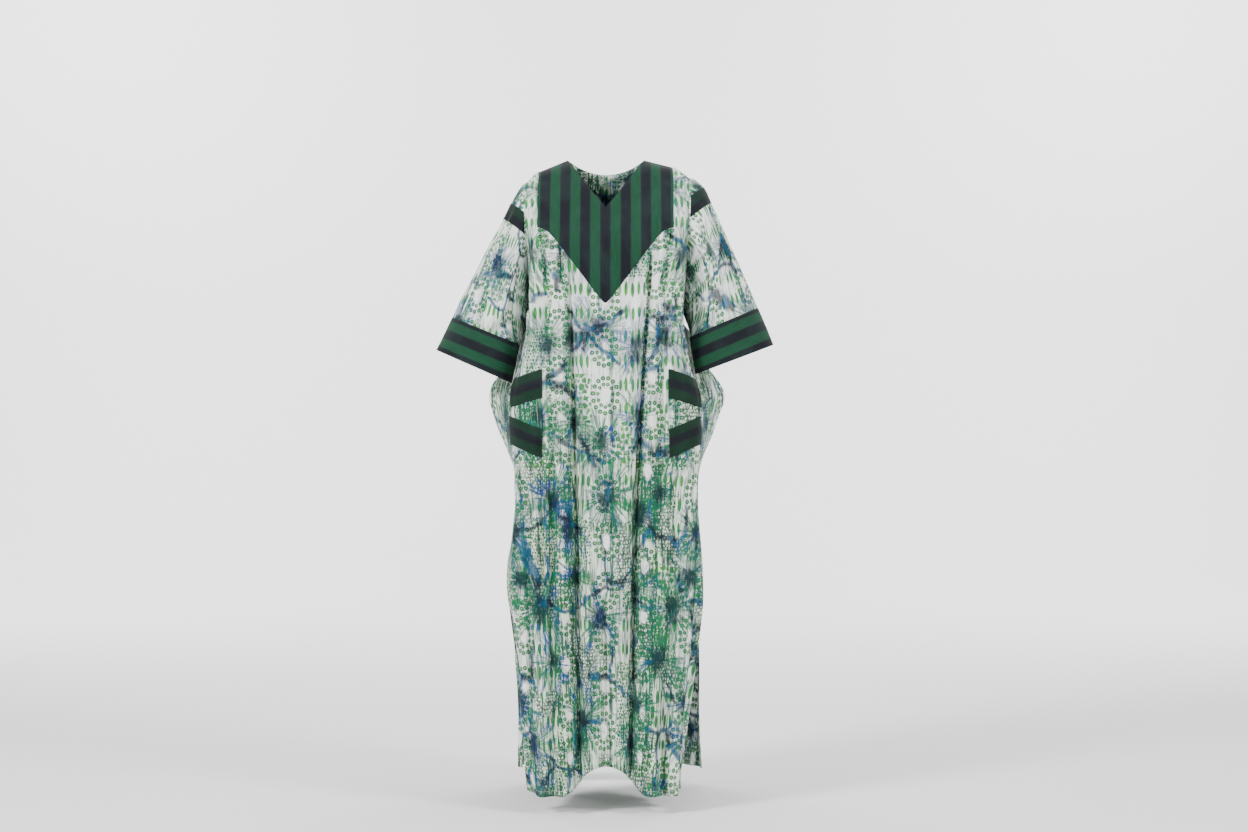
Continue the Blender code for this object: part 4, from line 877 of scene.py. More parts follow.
def dense(knots, steps):
    """Numbers through all the knots, each gap cut into its own number of steps."""
    line = [np.linspace(a, b, n, endpoint=False) for a, b, n in zip(knots[:-1], knots[1:], steps)]
    return np.concatenate(line + [[knots[-1]]])


def even_rows():
    """Row numbers from the shoulder to the hem, about PANEL_STEP apart."""
    gaps = -np.diff(ROWS["middle"])
    counts = np.maximum(np.rint(gaps / PANEL_STEP).astype(int), 1)
    return dense(range(len(ROWS["middle"])), counts)


# ---- cloth coordinates


def trough_excess():
    """Cloth that a trough takes up for each unit of half width, by its depth over half width."""
    q = np.linspace(-4.0, 4.0, 801)
    steep = np.gradient(fold_shape(np.abs(q)), q)
    ratios = np.linspace(0.0, 3.0, 31)
    return ratios, np.array([np.trapz(np.sqrt(1 + (r * steep) ** 2) - 1, q) for r in ratios])


TAKEN_UP = trough_excess()


def taken_up(folds, across, height):
    """Cloth taken up by the folds between the middle line and a point."""
    total = np.zeros_like(across)
    for fold in each_row(folds):
        centre, wide, deep = fold_at(fold, height)
        excess = wide * np.interp(deep / wide, *TAKEN_UP)
        way = smooth_step((across - centre) / (TROUGH_REACH * wide) + 0.5)
        total += excess * (way - smooth_step(-centre / (TROUGH_REACH * wide) + 0.5))
    return total


def panel_cloth(face, points, across):
    """Cloth coordinates of a panel: across from the middle line, and down from the shoulder."""
    sections = FRONT if face < 0 else BACK
    height = points[:, :, 2]
    shape = height.shape
    folds = FRONT_FOLDS if face < 0 else BACK_FOLDS
    u = across + taken_up(folds, across.ravel(), height.ravel()).reshape(shape)
    z = np.linspace(0.0, HEM, 400)
    step = np.hypot(np.diff(z), np.diff(read(sections, "middle", z)))
    down = np.concatenate([[0.0], np.cumsum(step)])
    v = np.interp(-height.ravel(), -z, down).reshape(shape) - np.clip(height, 0.0, None)
    return u, v


def run_length(points, axis, back=False):
    """Distance along the grid from its first row or column, or from its last."""
    step = np.linalg.norm(np.diff(points, axis=axis), axis=2)
    line = np.cumsum(np.pad(step, [(int(axis == i), 0) for i in (0, 1)]), axis)
    return line.take([-1], axis) - line if back else line


def end_distance(points, axis):
    """Distance along the grid to the nearer of its two ends."""
    return np.minimum(run_length(points, axis), run_length(points, axis, back=True))


def panel_edge(points):
    """Distance from the hem, and below the slits from the free side edges too."""
    below_slit = points[:, :, 2] < SLIT_TOP
    sides = np.where(below_slit, end_distance(points, 1), 1.0)
    return np.minimum(run_length(points, 0, back=True), sides)


def armhole_seam(points, side):
    """Draw the cloth in a little along an armhole seam."""
    x, y, z = np.moveaxis(points, -1, 0)
    x = side * x
    mid_z = 0.5 * (ARM_TOP[side] + ARM_BOTTOM)
    away = np.abs(x - (ARM_X[side] + ARM_LEAN * z))
    near = (z > ARM_BOTTOM - 0.01) & (x > 0)
    inward = np.stack([np.zeros_like(x), 0.5 * ARM_BACKSET - y, mid_z - z], -1)
    inward /= np.maximum(np.linalg.norm(inward, axis=-1), 1e-9)[..., None]
    deep = SEAM_DIP * np.exp(-((away / SEAM_DIP_WIDE) ** 2)) * near
    return points + inward * deep[..., None]


# ---- the pieces


def panel_columns(inner, outer):
    """Column numbers of a panel, from its right seam to its left seam."""
    steps = [inner] * YOKE_COLUMN + outer
    half = dense(range(EDGE_COLUMN + 1), steps)
    return np.concatenate([-half[:0:-1], half])


def front_piece(print_cloth):
    """Front panel, cut away where the yoke lies over it."""
    edge_column, edge_row = YOKE_COLUMN - BESIDE_YOKE, YOKE_ROW - UNDER_YOKE
    columns = panel_columns(6, [8, 8, 9, 9, 9, 9, 10, 10])
    columns = np.unique(np.round(np.append(columns, [edge_column, -edge_column]), 6))
    rows = np.unique(np.append(even_rows(), edge_row))
    points, across = panel_points(-1, columns, rows)
    cloth = panel_cloth(-1, points, across)
    points = armhole_seam(armhole_seam(points, 1), -1)
    below = 0.5 * (rows[:-1] + rows[1:]) > edge_row
    beside = np.abs(0.5 * (columns[:-1] + columns[1:])) > edge_column
    turned = panel_edge(points)
    points[:, [0, -1], 1] -= SEAM
    return piece(
        "front_panel", points, cloth, CLOTH_WALL, print_cloth,
        flip=True, keep=below[:, None] | beside, turned=turned,
    )


def back_piece(print_cloth):
    points, across = panel_points(1, panel_columns(5, [8] * 8), even_rows())
    u, v = panel_cloth(1, points, across)
    points = armhole_seam(armhole_seam(points, 1), -1)
    neck = np.where(np.abs(points[:, :, 0]) < NECK_HALF, run_length(points, 0), 1.0)
    turned = np.minimum(panel_edge(points), neck)
    points[:, [0, -1], 1] += SEAM
    cloth = (u + BACK_PRINT, v)
    return piece("back_panel", points, cloth, CLOTH_WALL, print_cloth, turned=turned)


def yoke_piece(striped_cloth):
    """Yoke, from the front's own points without creases, moved out."""
    columns = dense(range(-YOKE_COLUMN, YOKE_COLUMN + 1), [6] * (2 * YOKE_COLUMN))
    columns = np.unique(np.append(columns, [-0.24, -0.12, -0.06, 0.06, 0.12, 0.24]))
    rows = dense(range(YOKE_ROW + 1), [5, 9, 13, 13, 14])
    points, across = panel_points(-1, columns, rows, fine=False)
    u, v = panel_cloth(-1, points, across)
    uneven = unevenness("yoke", across, v, (0.0, 30.0), 14)
    lift = (YOKE_LIFT + CLOTH_WALL) * smooth_step(rows / 0.8)[:, None]
    lift = lift + uneven * smooth_step(rows / 2)[:, None]
    edge = np.minimum(run_length(points, 0, back=True), end_distance(points, 1))
    neck = run_length(points, 0) + np.where(np.abs(points[0, :, 0]) < NECK_HALF, 0.0, 1.0)
    for away, (deep, wide) in ((edge, YOKE_ROLL), (across, YOKE_CENTRE_SEAM)):
        lift = lift - deep * np.exp(-((away / wide) ** 2))
    points = points + grid_normals(points, flip=True) * lift[..., None]
    x = points[..., 0]
    blunt = YOKE_SLOPE * (np.hypot(x, YOKE_END_ROUND) - np.abs(x))
    points[..., 2] += blunt * smooth_step(rows - (YOKE_ROW - 1))[:, None]  # in the last row
    turned = np.minimum(edge, neck)
    return piece(
        "striped_yoke", points, (u, v), CLOTH_WALL, striped_cloth, flip=True, turned=turned
    )


def sleeve_grid(side):
    """Sleeve points from under the arm over the back, top and front."""
    stations = np.linspace(0.0, LAST_RING, SLEEVE_ROWS + 1)
    return sleeve_points(side, SLEEVE_TURNS, stations)


def wrapped(points):
    """A tube's grid with its first column again at the end."""
    return np.concatenate([points, points[:, :1]], 1)


def ring_cloth(points):
    """Cloth coordinates of a tube: round from the top line, and down from its upper end."""
    grid = wrapped(points)
    top = points.shape[1] // 2
    across, down = run_length(grid, 1), run_length(grid, 0, back=True)
    return across - across[:, top : top + 1], down[0, top] - down


def sleeve_piece(side, word, print_cloth):
    points = sleeve_grid(side)
    cloth = [way + start for way, start in zip(ring_cloth(points), SLEEVE_PRINT[side])]
    points = armhole_seam(points, side)
    name = f"sleeve_{word}_cloth"
    return piece(name, points, cloth, CLOTH_WALL, print_cloth, closed=True, flip=side < 0)


def cuff_piece(side, word, striped_cloth):
    top = sleeve_points(side, SLEEVE_TURNS, [LAST_RING])[0]
    end = dict(zip(SLEEVE_COLUMNS.split(), CUFF_END[side]))
    low = ring_points(side, end, SLEEVE_TURNS)
    share = np.linspace(-CUFF_LAP, 1.0, CUFF_ROWS + 1)[:, None]
    points = top * (1 - share[..., None]) + low * share[..., None]
    outward = points - points.mean(axis=1, keepdims=True)
    outward /= np.linalg.norm(outward, axis=2)[..., None]
    waves = round_ripple(SLEEVE_TURNS[None, :], share * 1.6, 31 + side)
    out = CUFF_LIFT + CUFF_UNEVEN * waves * smooth_step(share / 0.2)
    points = points + outward * out[..., None]
    down = run_length(wrapped(points), 0)
    stripes = CUFF_STRIPES[0] + CUFF_STRIPES[1] * down / down[-1].mean()
    return piece(
        f"cuff_{word}_cloth", points, (stripes, run_length(wrapped(points), 1)), CUFF_WALL,
        striped_cloth, closed=True, flip=side < 0, turned=end_distance(points, 0),
    )


def head_band_piece(side, word, striped_cloth):
    """Strip over the sleeve head, cut from the sleeve's own sheet and moved out."""
    points = armhole_seam(sleeve_grid(side), side)
    points = points[: int(HEAD_SHARE * len(points))]
    lifted = points + grid_normals(points, closed=True, flip=side < 0) * BAND_LIFT
    obj = piece(
        f"head_band_{word}_cloth", lifted, ring_cloth(points), PATCH_WALL, striped_cloth,
        closed=True, flip=side < 0,
    )
    sheet = bmesh.new()
    sheet.from_mesh(obj.data)
    down = Vector((side * np.sin(BAND_PITCH), 0.0, -np.cos(BAND_PITCH)))
    start = Vector((side * ARM_X[side], 0.0, BAND_HEIGHT[side]))
    arm = Vector((side * (ARM_X[side] + BAND_CLEAR), 0.0, 0.0))
    off_arm = Vector((side, 0.0, -ARM_LEAN)).normalized()
    for point, outside in ((start, -down), (start + down * BAND_WIDTH, down), (arm, -off_arm)):
        bmesh.ops.bisect_plane(
            sheet, geom=sheet.verts[:] + sheet.edges[:] + sheet.faces[:], dist=0.00001,
            plane_co=point, plane_no=outside, clear_outer=True,
        )
    layer = sheet.loops.layers.uv["cloth"]
    edge = sheet.verts.layers.float["turned_edge"]
    for face in sheet.faces:
        for loop in face.loops:
            q = (loop.vert.co - start).dot(down)
            loop[layer].uv = (BAND_STRIPE + q, loop.vert.co.y * 1.2)
            loop.vert[edge] = min(q, BAND_WIDTH - q)
    sheet.to_mesh(obj.data)
    sheet.free()
    return obj


def pocket_piece(kind, side, word, material):
    """Pocket or one of its bands, from the front's own points, moved out."""
    first, last = POCKET_COLUMNS
    columns = dense(range(first, last + 1), [10, 12, 12, 12])
    columns = columns if side > 0 else -columns[::-1]
    top, low = POCKET_ROWS[kind]
    rows = np.linspace(top, low, 12 * (low - top) + 1)
    points, across = panel_points(-1, columns, rows)
    u, v = panel_cloth(-1, points, across)
    start, end = POCKET_ROWS["pocket"]
    share = np.clip((rows - start) / (end - start), 0, 1)
    wide = np.linspace(0.0, 1.0, len(columns))
    out = POCKET_BELLY * np.outer(np.sin(pi * share) ** 0.8, np.sin(pi * wide) ** 0.7)
    if kind == "pocket":
        out = out + POCKET_LIFT
        cloth = (u + POCKET_PRINT[0], v + POCKET_PRINT[1])
    else:
        out = out + POCKET_LIFT + BAND_LIFT
        deep = np.linspace(0.0, BAND_CLOTH, len(rows))[:, None] * np.ones_like(u)
        cloth = (POCKET_STRIPES + deep, u)
    turned = np.minimum(end_distance(points, 0), end_distance(points, 1))
    points = points + grid_normals(points, flip=True) * out[..., None]
    name = f"{kind}_{word}_cloth"
    return piece(name, points, cloth, PATCH_WALL, material, flip=True, turned=turned)


# ---- finishes


def srgb(red, green, blue):
    """Colour from the numbers a dyer's chart gives, 0 to 255."""
    parts = np.array([red, green, blue]) / 255.0
    linear = np.where(parts <= 0.04045, parts / 12.92, ((parts + 0.055) / 1.055) ** 2.4)
    return (*[float(p) for p in linear], 1.0)


OFF_WHITE = srgb(242, 246, 241)
CREAM = srgb(206, 226, 200)
LILAC = srgb(196, 192, 206)
LINE_GREY = srgb(24, 64, 50)
PALE_LINE = srgb(150, 166, 166)
LEAF_GREEN = srgb(18, 122, 58)
BRIGHT_GREEN = srgb(62, 154, 44)
DEEP_GREEN = srgb(4, 66, 42)
TEAL = srgb(2, 82, 78)
BLUE = srgb(22, 60, 132)
NAVY = srgb(10, 26, 40)
THREAD = srgb(26, 52, 48)

PRINT_REPEAT = 0.236  # from one column of beaded ovals to the next of its kind
LIGHT_REPEAT = 8 * PRINT_REPEAT  # from one lightly printed middle to the next
OVAL_DROP = 0.104  # from one oval down to the next
DASH_PITCH = 0.0138
DASH_DROP = 0.0520
STRIPE_REPEAT = 0.0444
DARK_HALF = 0.0113  # half width of a near-black stripe
WEAVE_DEEP = 0.0006


class Recipe:
    """Adds nodes to one tree; each call gives the socket it makes."""

    def __init__(self, tree):
        self.tree = tree

    def join(self, socket, value):
        if isinstance(value, bpy.types.NodeSocket):
            self.tree.links.new(value, socket)
        elif value is not None:
            socket.default_value = value

    def node(self, kind, inputs=(), **settings):
        made = self.tree.nodes.new(kind)
        for name, value in settings.items():
            setattr(made, name, value)
        for name, value in dict(inputs).items():
            self.join(made.inputs[name], value)
        return made

    def do(self, how, *values):
        made = self.node("ShaderNodeMath", operation=how)
        for socket, value in zip(made.inputs, values):
            self.join(socket, value)
        return made.outputs[0]

    plus = partialmethod(do, "ADD")
    minus = partialmethod(do, "SUBTRACT")
    times = partialmethod(do, "MULTIPLY")
    over = partialmethod(do, "DIVIDE")
    most = partialmethod(do, "MAXIMUM")
    wrap = partialmethod(do, "FLOORED_MODULO")
    away = partialmethod(do, "ABSOLUTE")
    scaled = partialmethod(do, "MULTIPLY_ADD")  # value, factor, what is added

    def far(self, x, y):
        return self.do("SQRT", self.plus(self.times(x, x), self.times(y, y)))

    def step(self, value, low, high, to_low=0.0, to_high=1.0):
        """Smooth step between low and high."""
        inputs = {"Value": value, "From Min": low, "From Max": high, "To Min": to_low}
        inputs["To Max"] = to_high
        made = self.node("ShaderNodeMapRange", inputs, interpolation_type="SMOOTHSTEP")
        return made.outputs["Result"]

    def band(self, value, low, high, soft):
        """1 between low and high."""
        rise = self.step(value, low - soft, low + soft)
        return self.times(rise, self.step(value, high + soft, high - soft))

    def place(self, x, y, z=0.0):
        return self.node("ShaderNodeCombineXYZ", {"X": x, "Y": y, "Z": z}).outputs[0]

    def noise(self, x, y, z=0.0, detail=2.0, rough=0.5):
        inputs = {"Vector": self.place(x, y, z), "Scale": 1.0, "Detail": detail, "Roughness": rough}
        return self.node("ShaderNodeTexNoise", inputs).outputs["Fac"]

    def grain(self, x, y, x_fine, y_fine, *rest):
        """Noise with its own fineness each way."""
        return self.noise(self.times(x, x_fine), self.times(y, y_fine), *rest)

    def chance(self, x, y, z=0.0):
        """Three random numbers for each cell."""
        spot = {"Vector": self.place(x, y, z)}
        made = self.node("ShaderNodeTexWhiteNoise", spot, noise_dimensions="3D")
        parts = self.node("ShaderNodeSeparateColor", {"Color": made.outputs["Color"]}).outputs
        return parts[0], parts[1], parts[2]

    def mix(self, share, a, b):
        made = self.node("ShaderNodeMix", data_type="RGBA")
        for i, value in ((0, share), (6, a), (7, b)):
            self.join(made.inputs[i], value)
        return made.outputs[2]

    def cell(self, value, size=1.0):
        """Number of the cell, and the place in it from 0 to 1."""
        scaled = self.over(value, size)
        return self.do("FLOOR", scaled), self.do("FRACT", scaled)

    def staggered(self, across, down):
        """Cells of size 1, each other row shifted by half: numbers, and places in the cell."""
        row, in_row = self.cell(down)
        column, in_column = self.cell(self.plus(across, self.times(self.wrap(row, 2.0), 0.5)))
        return column, row, in_column, in_row

    def centred(self, value, repeat):
        """Place in a repeat, counted from its middle."""
        return self.minus(self.wrap(self.plus(value, repeat / 2), repeat), repeat / 2)

    def give(self, **outputs):
        """Ends an effect with what it puts out."""
        self.node("NodeGroupOutput", outputs)
        return self.tree


def effect(name, outputs, **numbers):
    """Empty node group, as its recipe, Across and Down of the cloth, and all its inputs."""
    tree = bpy.data.node_groups.new(name, "ShaderNodeTree")
    for socket, default in {"Across": 0.0, "Down": 0.0, **numbers}.items():
        made = tree.interface.new_socket(name=socket, in_out="INPUT", socket_type="NodeSocketFloat")
        made.default_value = default
    for socket in outputs:
        tree.interface.new_socket(name=socket, in_out="OUTPUT", socket_type="NodeSocketFloat")
    r = Recipe(tree)
    given = r.node("NodeGroupInput").outputs
    return r, given["Across"], given["Down"], given


def use(r, tree, across, down, **numbers):
    """Places an effect in a material with its own values."""
    inputs = {"Across": across, "Down": down, **numbers}
    return r.node("ShaderNodeGroup", inputs, node_tree=tree).outputs


def starbursts():
    """Knot marks of tie-dye: dark cores with rays, in staggered cells."""
    r, u, v, given = effect(
        "tie dye knots", ("Mark", "Core", "Tint"), Width=0.1, Height=0.12, Share=0.8, Seed=0.0
    )
    cells = r.staggered(r.over(u, given["Width"]), r.over(v, given["Height"]))
    column, row, in_column, in_row = cells
    a, b, c = r.chance(column, row, given["Seed"])
    d, tint, _ = r.chance(row, column, r.plus(given["Seed"], 31.7))
    size = r.scaled(c, 0.14, 0.31)
    x = r.over(r.minus(in_column, r.scaled(a, 0.24, 0.38)), size)
    y = r.over(r.minus(in_row, r.scaled(b, 0.24, 0.38)), r.times(size, 1.12))
    far = r.far(x, y)
    safe = r.most(far, 0.001)
    turn_x, turn_y = r.over(x, safe), r.over(y, safe)
    own = r.scaled(a, 50.0, r.times(far, 0.55))
    rays = r.grain(turn_x, turn_y, 4.2, 4.2, own, 3.0, 0.65)
    threads = r.grain(turn_x, turn_y, 11.0, 11.0, r.plus(own, 9.0), 2.0, 0.6)
    ragged = r.minus(r.grain(x, y, 3.0, 3.0, own, 4.0, 0.7), 0.5)
    reach = r.scaled(ragged, -0.9, r.scaled(r.minus(rays, 0.5), -3.6, far))
    shown = r.times(r.do("LESS_THAN", d, given["Share"]), r.step(far, 1.5, 0.9))
    solid = r.step(reach, 0.98, 0.56)
    split = r.most(r.step(threads, 0.46, 0.53), r.step(far, 0.36, 0.14))
    haze = r.times(r.step(reach, 1.05, 0.15), 0.55)
    mark = r.times(r.most(r.times(solid, split), haze), shown)
    core = r.times(r.step(r.scaled(ragged, -1.1, far), 0.46, 0.14), shown)
    return r.give(Mark=mark, Core=core, Tint=tint)


def dash_rows():
    """Rows of short upright strokes, pointed at both ends."""
    r, u, v, given = effect("brush dashes", ("Dash",), Seed=0.0)
    bent = r.scaled(r.noise(0.0, r.times(v, 14.0), given["Seed"]), 0.007, u)
    column, in_column = r.cell(bent, DASH_PITCH)
    a, _, _ = r.chance(column, 3.0, given["Seed"])
    row, in_row = r.cell(r.scaled(a, 0.006, v), DASH_DROP)
    d, e, f = r.chance(column, row, given["Seed"])
    x = r.times(r.minus(in_column, r.scaled(d, 0.16, 0.42)), DASH_PITCH)
    y = r.times(r.minus(in_row, 0.5), DASH_DROP)
    long = r.scaled(e, 0.0050, 0.0125)
    end = r.do("POWER", r.away(r.over(y, long)), 2.6)
    wide = r.times(r.scaled(f, 0.0012, 0.0031), r.minus(1.0, end))
    inside = r.step(r.minus(r.away(x), wide), 0.0005, -0.0005)
    return r.give(Dash=r.times(inside, r.do("LESS_THAN", a, 0.96)))


def ring_dots():
    """Fields of small dots, some with a light middle."""
    r, u, v, given = effect("brush dots", ("Dot",), Pitch=0.012, Size=0.3, Seed=0.0)
    drift_v, drift_u = [
        r.times(r.minus(r.grain(u, v, 75.0, 60.0, layer), 0.5), 1.5) for layer in (0.0, 7.0)
    ]
    column, row, in_column, in_row = r.staggered(
        r.plus(r.over(u, given["Pitch"]), drift_u), r.plus(r.over(v, given["Pitch"]), drift_v)
    )
    a, b, c = r.chance(column, row, given["Seed"])
    x = r.minus(in_column, r.scaled(a, 0.30, 0.35))
    y = r.times(r.minus(in_row, r.scaled(b, 0.30, 0.35)), 0.86)
    far = r.far(x, y)
    size = r.times(given["Size"], r.scaled(c, 0.55, 0.68))
    dot = r.step(r.minus(far, size), 0.05, -0.05)
    hole = r.step(r.minus(far, r.times(size, 0.36)), 0.05, -0.05)
    hole = r.times(hole, r.do("GREATER_THAN", a, 0.72))
    return r.give(Dot=r.times(dot, r.scaled(hole, -0.55, 1.0)))


def beaded_ovals():
    """Column of light ovals, each in two rings of dots."""
    r, u, v, given = effect("beaded ovals", ("Oval", "Bead"), Seed=0.0)
    row, in_row = r.cell(v, OVAL_DROP)
    a, b, _ = r.chance(row, 5.0, given["Seed"])
    y = r.times(r.minus(in_row, r.scaled(a, 0.10, 0.45)), OVAL_DROP)
    x = r.plus(u, r.scaled(b, 0.006, -0.003))
    beads = 0.0
    for count, wide, high, size in ((11, 0.0165, 0.0250, 0.0041), (15, 0.0270, 0.0385, 0.0050)):
        turn = r.do("ARCTAN2", r.over(x, wide), r.over(y, high))
        spot = r.do("ROUND", r.scaled(turn, count / (2 * pi), a))
        angle = r.times(r.minus(spot, a), 2 * pi / count)
        near_x = r.minus(x, r.times(r.do("SINE", angle), wide))
        near_y = r.minus(y, r.times(r.do("COSINE", angle), high))
        gap = r.far(near_x, near_y)
        bead, hole = [r.step(r.minus(gap, part), 0.0006, -0.0006) for part in (size, size * 0.35)]
        beads = r.most(beads, r.times(bead, r.scaled(hole, -0.4, 1.0)))
    return r.give(Oval=r.step(r.far(r.over(x, 0.0085), r.over(y, 0.0150)), 1.12, 0.92), Bead=beads)


def dye_ties():
    """Thin bent lines of dye that link the knots here and there."""
    r, u, v, _ = effect("tie dye lines", ("Tie",))
    bent_u = r.scaled(r.grain(u, v, 13.0, 13.0, 2.0, 3.0), 0.060, u)
    bent_v = r.scaled(r.grain(u, v, 13.0, 13.0, 6.0, 3.0), 0.060, v)
    spot = r.place(r.times(bent_u, 8.2), r.times(bent_v, 6.6))
    net = r.node("ShaderNodeTexVoronoi", {"Vector": spot, "Scale": 1.0}, feature="DISTANCE_TO_EDGE")
    wide = r.scaled(r.grain(u, v, 60.0, 60.0, 14.0), 1.6, 0.3)
    runs = r.step(r.grain(u, v, 10.0, 10.0, 21.0), 0.43, 0.52)
    return r.give(Tie=r.times(r.step(r.over(net.outputs["Distance"], wide), 0.044, 0.012), runs))


def woven_lines():
    """Uneven fine upright lines of a handwoven ground."""
    r, u, v, _ = effect("woven lines", ("Line", "Slub", "Cloud"))
    wander = r.scaled(r.grain(u, v, 20.0, 9.0), 0.010, u)
    fine = r.grain(wander, v, 250.0, 15.0, 0.0, 2.0, 0.6)
    broad = r.grain(wander, v, 110.0, 9.0, 4.0, 2.0, 0.6)
    line = r.step(r.scaled(broad, 0.35, r.times(fine, 0.70)), 0.50, 0.60)
    slub = r.grain(u, v, 900.0, 70.0, 8.0)
    return r.give(Line=line, Slub=slub, Cloud=r.grain(u, v, 15.0, 8.0, 12.0, 3.0, 0.6))


def plain_weave():
    """Height of a plain weave, and of the double cloth and stitches along a turned edge."""
    r, u, v, given = effect(
        "plain weave", ("Height", "Stitches"), Thread=0.0006, Edge=1.0, Stitch=0.012
    )
    turns = r.over(2 * pi, given["Thread"])
    warp, weft = [r.do("SINE", r.times(way, turns)) for way in (u, v)]
    cloth = r.times(r.times(warp, weft), 0.10)
    from_line = r.away(r.minus(given["Edge"], given["Stitch"]))
    along = r.do("FRACT", r.over(r.plus(v, u), 0.0040))
    thread = r.times(r.step(from_line, 0.0006, 0.0003), r.band(along, 0.18, 0.82, 0.06))
    groove = r.times(r.step(from_line, 0.0022, 0.0004), -0.9)
    double = r.step(given["Edge"], r.plus(given["Stitch"], 0.0012), given["Stitch"])
    height = r.scaled(r.grain(u, v, 620.0, 60.0, 2.0), 0.35, cloth)
    height = r.plus(height, r.plus(groove, r.scaled(thread, 0.7, r.times(double, 0.8))))
    return r.give(Height=height, Stitches=thread)


def fill(node, values):
    """Sets plain values on a node's own sockets."""
    for name, value in values.items():
        node.inputs[name].default_value = value


def cloth_material(name):
    """New material, its recipe, and the cloth coordinates of the piece."""
    material = bpy.data.materials.new(name)
    material.use_nodes = True
    shader = material.node_tree.nodes["Principled BSDF"]
    fill(shader, {"Metallic": 0.0, "Specular IOR Level": 0.18})
    fill(shader, {"Sheen Weight": 0.05, "Sheen Roughness": 0.5})
    r = Recipe(material.node_tree)
    flat = r.node("ShaderNodeUVMap", uv_map="cloth").outputs[0]
    place = r.node("ShaderNodeSeparateXYZ", {"Vector": flat}).outputs
    edge = r.node("ShaderNodeAttribute", attribute_name="turned_edge", attribute_type="GEOMETRY")
    return material, r, shader, place[0], place[1], edge.outputs["Fac"]


def finish_cloth(r, shader, colour, rough, weave, strength):
    """Joins colour, roughness and weave to the shader."""
    inputs = {"Height": weave, "Strength": strength, "Distance": WEAVE_DEEP}
    bump = r.node("ShaderNodeBump", inputs).outputs[0]
    for name, value in (("Base Color", colour), ("Roughness", rough), ("Normal", bump)):
        r.join(shader.inputs[name], value)


